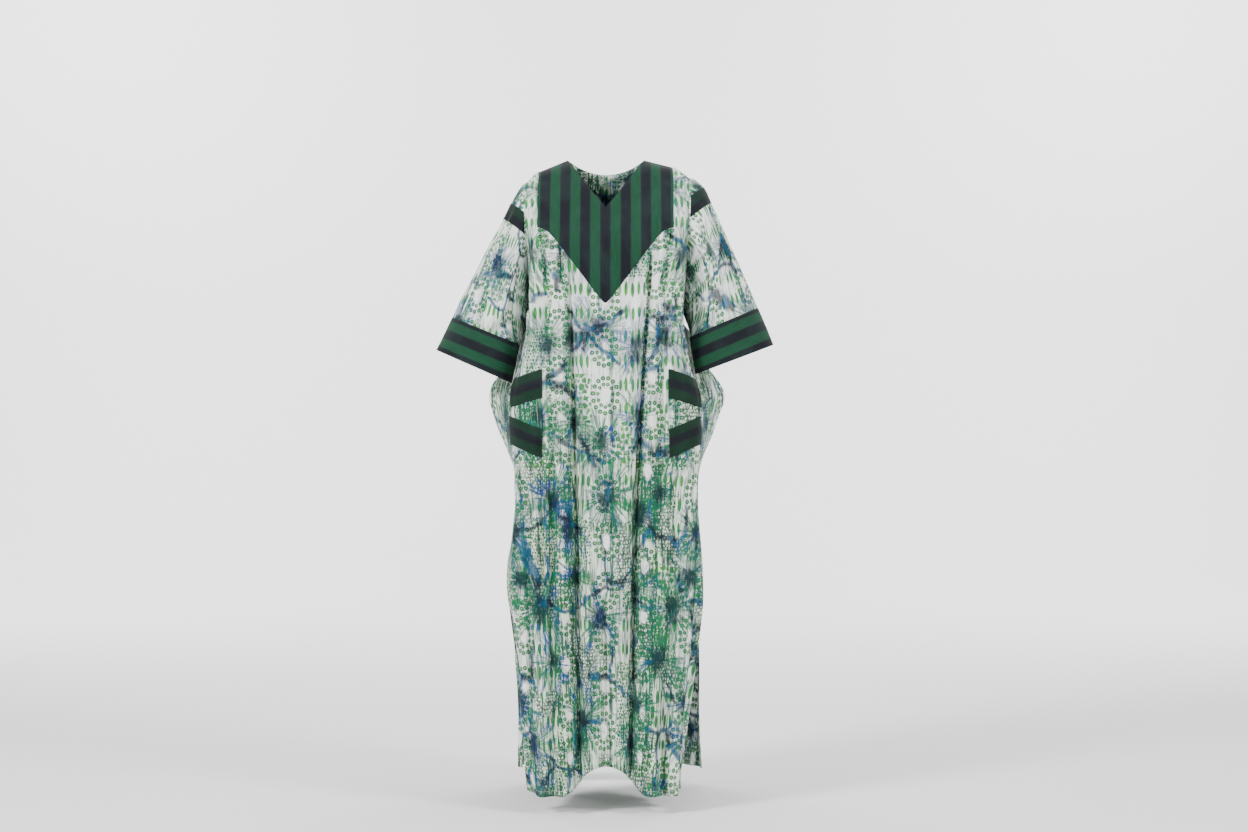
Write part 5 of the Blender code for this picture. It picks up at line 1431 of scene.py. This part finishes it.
def printed_cloth(effects):
    """Off-white handwoven ground, painted dashes and dots, then tie-dyed in teal and blue."""
    material, r, shader, u, v, edge = cloth_material("printed cloth")
    lines = use(r, effects["lines"], u, v)
    wobble = r.scaled(r.grain(u, v, 11.0, 9.0, 7.0), 0.014, -0.007)
    across = r.plus(u, wobble)
    folded = r.away(r.centred(across, PRINT_REPEAT))
    from_middle = r.centred(u, PRINT_REPEAT)
    from_side = r.minus(r.wrap(u, PRINT_REPEAT), PRINT_REPEAT / 2)

    # crowded below and at the sides, light in the middle
    low = r.step(v, 0.40, 0.80)
    outer = r.step(r.away(r.centred(u, LIGHT_REPEAT)), 0.11, 0.25)
    crowded = r.times(r.most(low, outer), r.step(folded, 0.020, 0.060, 0.62, 1.0))
    patch = r.grain(u, v, 12.0, 7.5, 33.0)
    mesh = r.times(r.step(patch, 0.50, 0.56), r.step(crowded, 0.35, 0.75))

    ground = r.mix(r.times(crowded, 0.80), OFF_WHITE, CREAM)
    ground = r.mix(r.times(r.step(lines["Cloud"], 0.50, 0.70), 0.60), ground, LILAC)
    line_share = r.times(lines["Line"], r.scaled(crowded, 0.58, 0.42))
    line_colour = r.mix(r.times(crowded, 0.9), PALE_LINE, LINE_GREY)
    ground = r.mix(line_share, ground, line_colour)

    ovals = use(r, effects["ovals"], from_middle, v, Seed=1.0)
    others = use(r, effects["ovals"], from_side, r.plus(v, 0.05), Seed=2.0)
    oval, bead = [r.most(ovals[part], others[part]) for part in ("Oval", "Bead")]

    block, _ = r.cell(r.plus(v, r.times(wobble, 1.5)), OVAL_DROP)
    panel, _ = r.cell(r.plus(across, 0.027), PRINT_REPEAT / 4)
    pick, pick_two, _ = r.chance(panel, block, 4.0)
    dashes = use(r, effects["dashes"], u, v, Seed=1.0)
    big = use(r, effects["dots"], u, v, Pitch=0.0132, Size=0.37, Seed=2.0)
    small = use(r, effects["dots"], across, v, Pitch=0.0076, Size=0.36, Seed=6.0)

    beside = r.band(folded, 0.030, 0.094, 0.004)
    dash_block = r.do("GREATER_THAN", pick, r.scaled(crowded, 0.34, 0.06))
    dash = r.times(dashes["Dash"], r.times(beside, dash_block))
    dash = r.times(dash, r.scaled(mesh, -0.8, 1.0))
    other_block = r.times(beside, r.minus(1.0, dash_block))
    big_dot = r.times(other_block, r.do("GREATER_THAN", pick_two, 0.5))
    big_dot = r.times(big["Dot"], big_dot)
    speck = r.times(other_block, r.do("LESS_THAN", pick_two, 0.5))
    speck = r.most(speck, r.band(folded, 0.090, 0.101, 0.003))
    speck = r.times(small["Dot"], r.times(speck, r.minus(1.0, mesh)))
    net = r.times(r.minus(1.0, small["Dot"]), mesh)

    shade = r.grain(u, v, 40.0, 30.0, 3.0)
    green = r.mix(r.step(shade, 0.42, 0.60), LEAF_GREEN, BRIGHT_GREEN)
    green = r.mix(r.times(crowded, 0.55), green, DEEP_GREEN)
    dark_green = r.mix(0.45, green, DEEP_GREEN)
    dyed = ground
    for share, opacity, colour in (
        (net, 0.86, r.mix(r.step(shade, 0.45, 0.62), DEEP_GREEN, LINE_GREY)),
        (bead, 0.96, dark_green),
        (dash, 0.95, green),
        (big_dot, 0.92, green),
        (speck, 0.92, dark_green),
        (oval, 0.90, OFF_WHITE),
    ):
        dyed = r.mix(r.times(share, opacity), dyed, colour)

    # streaky stems beside the middle column and along the side columns: where each
    # lies, its half width, how rarely it shows and its own noise
    drift = r.grain(u, v, 30.0, 24.0, 17.0, 3.0)
    way = r.scaled(r.noise(3.0, r.times(v, 26.0), 1.0), 0.010, -0.005)
    streaks = r.grain(u, v, 300.0, 24.0, 9.0, 3.0, 0.6)
    stem = 0.0
    for at, wide, rare, own in (
        (0.0145, 0.0075, 0.38, 1.0), (0.096, 0.0085, 0.46, 5.0), (-0.101, 0.0085, 0.44, 9.0)
    ):
        gap = r.away(r.minus(r.plus(from_middle, way), at))
        runs = r.step(r.noise(own, r.times(v, 9.0), 3.0), rare, rare + 0.12)
        stem = r.most(stem, r.times(r.step(gap, wide, wide * 0.25), runs))
    stem = r.times(stem, r.step(streaks, 0.34, 0.54))
    stem_colour = r.mix(r.step(drift, 0.45, 0.58), DEEP_GREEN, TEAL)
    dyed = r.mix(r.times(stem, 0.90), dyed, stem_colour)

    # tie-dyed knots, and the dye that ran along the ties between them
    knots = effects["knots"]
    first = use(r, knots, r.plus(u, 0.077), v, Width=0.154, Height=0.176, Share=0.97, Seed=3.0)
    second = use(r, knots, u, r.plus(v, 0.07), Width=0.172, Height=0.204, Share=0.90, Seed=11.0)
    mark, core = [r.most(first[part], second[part]) for part in ("Mark", "Core")]
    knot = r.mix(r.step(first["Tint"], 0.35, 0.65), TEAL, BLUE)
    knot = r.mix(r.step(drift, 0.40, 0.55), knot, r.mix(0.5, LEAF_GREEN, TEAL))
    mark = r.times(mark, r.step(r.grain(u, v, 330.0, 70.0, 5.0), 0.25, 0.55, 0.40, 1.0))
    dyed = r.mix(r.times(mark, r.scaled(low, 0.18, 0.79)), dyed, knot)
    dyed = r.mix(r.times(core, 0.78), dyed, NAVY)
    ties = use(r, effects["ties"], u, v)
    tie_colour = r.mix(r.step(drift, 0.44, 0.56), NAVY, r.mix(0.5, BLUE, TEAL))
    dyed = r.mix(r.times(ties["Tie"], 0.85), dyed, tie_colour)
    dyed = r.mix(r.times(r.step(lines["Slub"], 0.55, 0.75), 0.16), dyed, LINE_GREY)

    weave = use(r, effects["weave"], u, v, Thread=0.0008, Edge=edge, Stitch=0.012)
    dyed = r.mix(r.times(weave["Stitches"], 0.55), dyed, CREAM)
    rough = r.step(lines["Slub"], 0.2, 0.8, 0.80, 0.92)
    finish_cloth(r, shader, dyed, rough, weave["Height"], 0.35)
    return material


def striped_cloth(effects, name, pale_green, deep_green):
    """Firm handwoven cloth in broad green and near-black stripes, with a slubby warp."""
    material, r, shader, u, v, edge = cloth_material(name)
    ragged = r.scaled(r.grain(u, v, 30.0, 160.0, 2.0, 3.0), 0.0010, -0.0005)
    in_stripe = r.away(r.centred(r.plus(u, ragged), STRIPE_REPEAT))
    warp = r.grain(u, v, 1500.0, 24.0, 1.0, 3.0, 0.6)
    weft = r.grain(u, v, 50.0, 1300.0, 4.0, 2.0, 0.6)
    fade = r.grain(u, v, 18.0, 12.0, 6.0, 3.0)
    green = r.mix(r.step(warp, 0.30, 0.70), deep_green, pale_green)
    green = r.mix(r.times(r.step(weft, 0.52, 0.72), 0.35), green, srgb(14, 54, 38))
    dark = r.mix(r.step(warp, 0.32, 0.72), srgb(6, 9, 15), srgb(16, 21, 30))
    dark = r.mix(r.times(r.step(weft, 0.55, 0.75), 0.30), dark, srgb(22, 40, 42))
    cloth = r.mix(r.step(in_stripe, DARK_HALF - 0.0004, DARK_HALF + 0.0004), dark, green)
    cloth = r.mix(r.times(r.step(fade, 0.40, 0.70), 0.14), cloth, srgb(50, 76, 70))
    fine_line = r.step(r.away(r.minus(in_stripe, 0.0094)), 0.0006, 0.0002)
    cloth = r.mix(r.times(fine_line, 0.35), cloth, srgb(38, 50, 56))
    weave = use(r, effects["weave"], u, v, Thread=0.0010, Edge=edge, Stitch=0.0026)
    cloth = r.mix(r.times(weave["Stitches"], 0.75), cloth, THREAD)
    rough = r.step(warp, 0.2, 0.8, 0.74, 0.90)
    finish_cloth(r, shader, cloth, rough, weave["Height"], 0.45)
    return material


# ---- studio

FLOOR = -1.41
SWEEP_START = 5.2  # where the paper begins to curve up behind the dress
SWEEP_ROUND = 1.6
PAPER_NEAR = -11.0
PAPER_HALF = 12.0
PAPER_HIGH = 9.0
CAMERA = (0.0405, -4.5, -0.549)
LENS, SENSOR = 57.7, 36.0  # millimetres
MIDDLE = (0.0, 0.0, -0.6)
LIGHTS = {  # place, what it is aimed at, size and power
    "key": ((-2.8, -2.3, 1.5), MIDDLE, 1.1, 215.0),
    "second": ((2.9, -1.9, 1.2), MIDDLE, 1.1, 122.0),
    "fill": ((1.4, -4.2, 0.2), MIDDLE, 2.6, 30.0),
    "top": ((0.3, 0.2, 2.6), MIDDLE, 1.6, 50.0),
    "wall_left": ((-3.4, 3.6, 2.4), (-1.2, 6.8, -0.2), 2.4, 380.0),
    "wall_right": ((3.4, 3.6, 2.4), (1.2, 6.8, -0.2), 2.4, 380.0),
}


def studio():
    """Pale sweep, soft light and the camera."""
    angles = np.linspace(0.1, pi / 2, 16)
    bend = zip(SWEEP_START + SWEEP_ROUND * np.sin(angles), SWEEP_ROUND * (1.0 - np.cos(angles)))
    back = SWEEP_START + SWEEP_ROUND
    profile = [(PAPER_NEAR, 0.0), (SWEEP_START, 0.0), *bend, (back, PAPER_HIGH)]
    verts = [(x, y, FLOOR + z) for x in (-PAPER_HALF, PAPER_HALF) for y, z in profile]
    n = len(profile)
    mesh = bpy.data.meshes.new("studio_floor")
    mesh.from_pydata(verts, [], [(i, i + 1, n + i + 1, n + i) for i in range(n - 1)])
    mesh.shade_smooth()
    paper = bpy.data.materials.new("pale paper")
    paper.use_nodes = True
    shader = paper.node_tree.nodes["Principled BSDF"]
    fill(shader, {"Base Color": (0.86, 0.86, 0.86, 1.0), "Roughness": 0.9})
    mesh.materials.append(paper)
    add_object("studio_floor", mesh)

    world = bpy.data.worlds.new("studio")
    world.use_nodes = True
    fill(world.node_tree.nodes["Background"], {"Color": (1.0, 1.0, 1.0, 1.0), "Strength": 0.34})
    bpy.context.scene.world = world
    for name, (spot, aim, size, power) in LIGHTS.items():
        lamp = bpy.data.lights.new(name, "AREA")
        lamp.shape = "DISK"
        lamp.size = size
        lamp.energy = power
        light = add_object(name, lamp)
        light.location = spot
        light.rotation_euler = (Vector(aim) - Vector(spot)).to_track_quat("-Z", "Y").to_euler()

    view = bpy.data.cameras.new("view")
    view.sensor_width = SENSOR
    view.lens = LENS
    camera = add_object("view", view)
    camera.location = CAMERA
    camera.rotation_euler = (pi / 2, 0.0, 0.0)
    bpy.context.scene.camera = camera


# ---- the whole dress


def finish_piece(obj, kind, word=""):
    """Hangs a piece on the root and hides the part of model.glb that it stands in for."""
    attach(obj, "root")
    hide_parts(f"{kind}_{word}" if word else kind)


def main():
    effects = {
        "knots": starbursts(),
        "dashes": dash_rows(),
        "dots": ring_dots(),
        "ovals": beaded_ovals(),
        "lines": woven_lines(),
        "ties": dye_ties(),
        "weave": plain_weave(),
    }
    prints = printed_cloth(effects)
    stripes, stripes_with_painted_shade, dim_stripes = [
        striped_cloth(effects, name, pale, deep)
        for name, pale, deep in (
            ("striped cloth", srgb(17, 71, 45), srgb(7, 46, 30)),
            # darker copy of the stripes for the pocket bands: the green is darkened as painted
            # shade where an arm would hang over the pockets
            ("striped cloth, darkened as painted shade", srgb(8, 43, 27), srgb(4, 29, 18)),
            ("striped cloth, dim", srgb(11, 38, 27), srgb(7, 25, 19)),
        )
    ]
    finish_piece(front_piece(prints), "front")
    finish_piece(back_piece(prints), "back")
    finish_piece(yoke_piece(stripes), "yoke")
    for side, word in ((1, "left"), (-1, "right")):
        finish_piece(sleeve_piece(side, word, prints), "sleeve", word)
        finish_piece(cuff_piece(side, word, stripes), "cuff", word)
        finish_piece(head_band_piece(side, word, dim_stripes), "head_band", word)
        for kind in POCKET_ROWS:
            # the pocket bands take the darker stripes, which carry painted shade
            cloth = prints if kind == "pocket" else stripes_with_painted_shade
            finish_piece(pocket_piece(kind, side, word, cloth), kind, word)
    studio()


main()
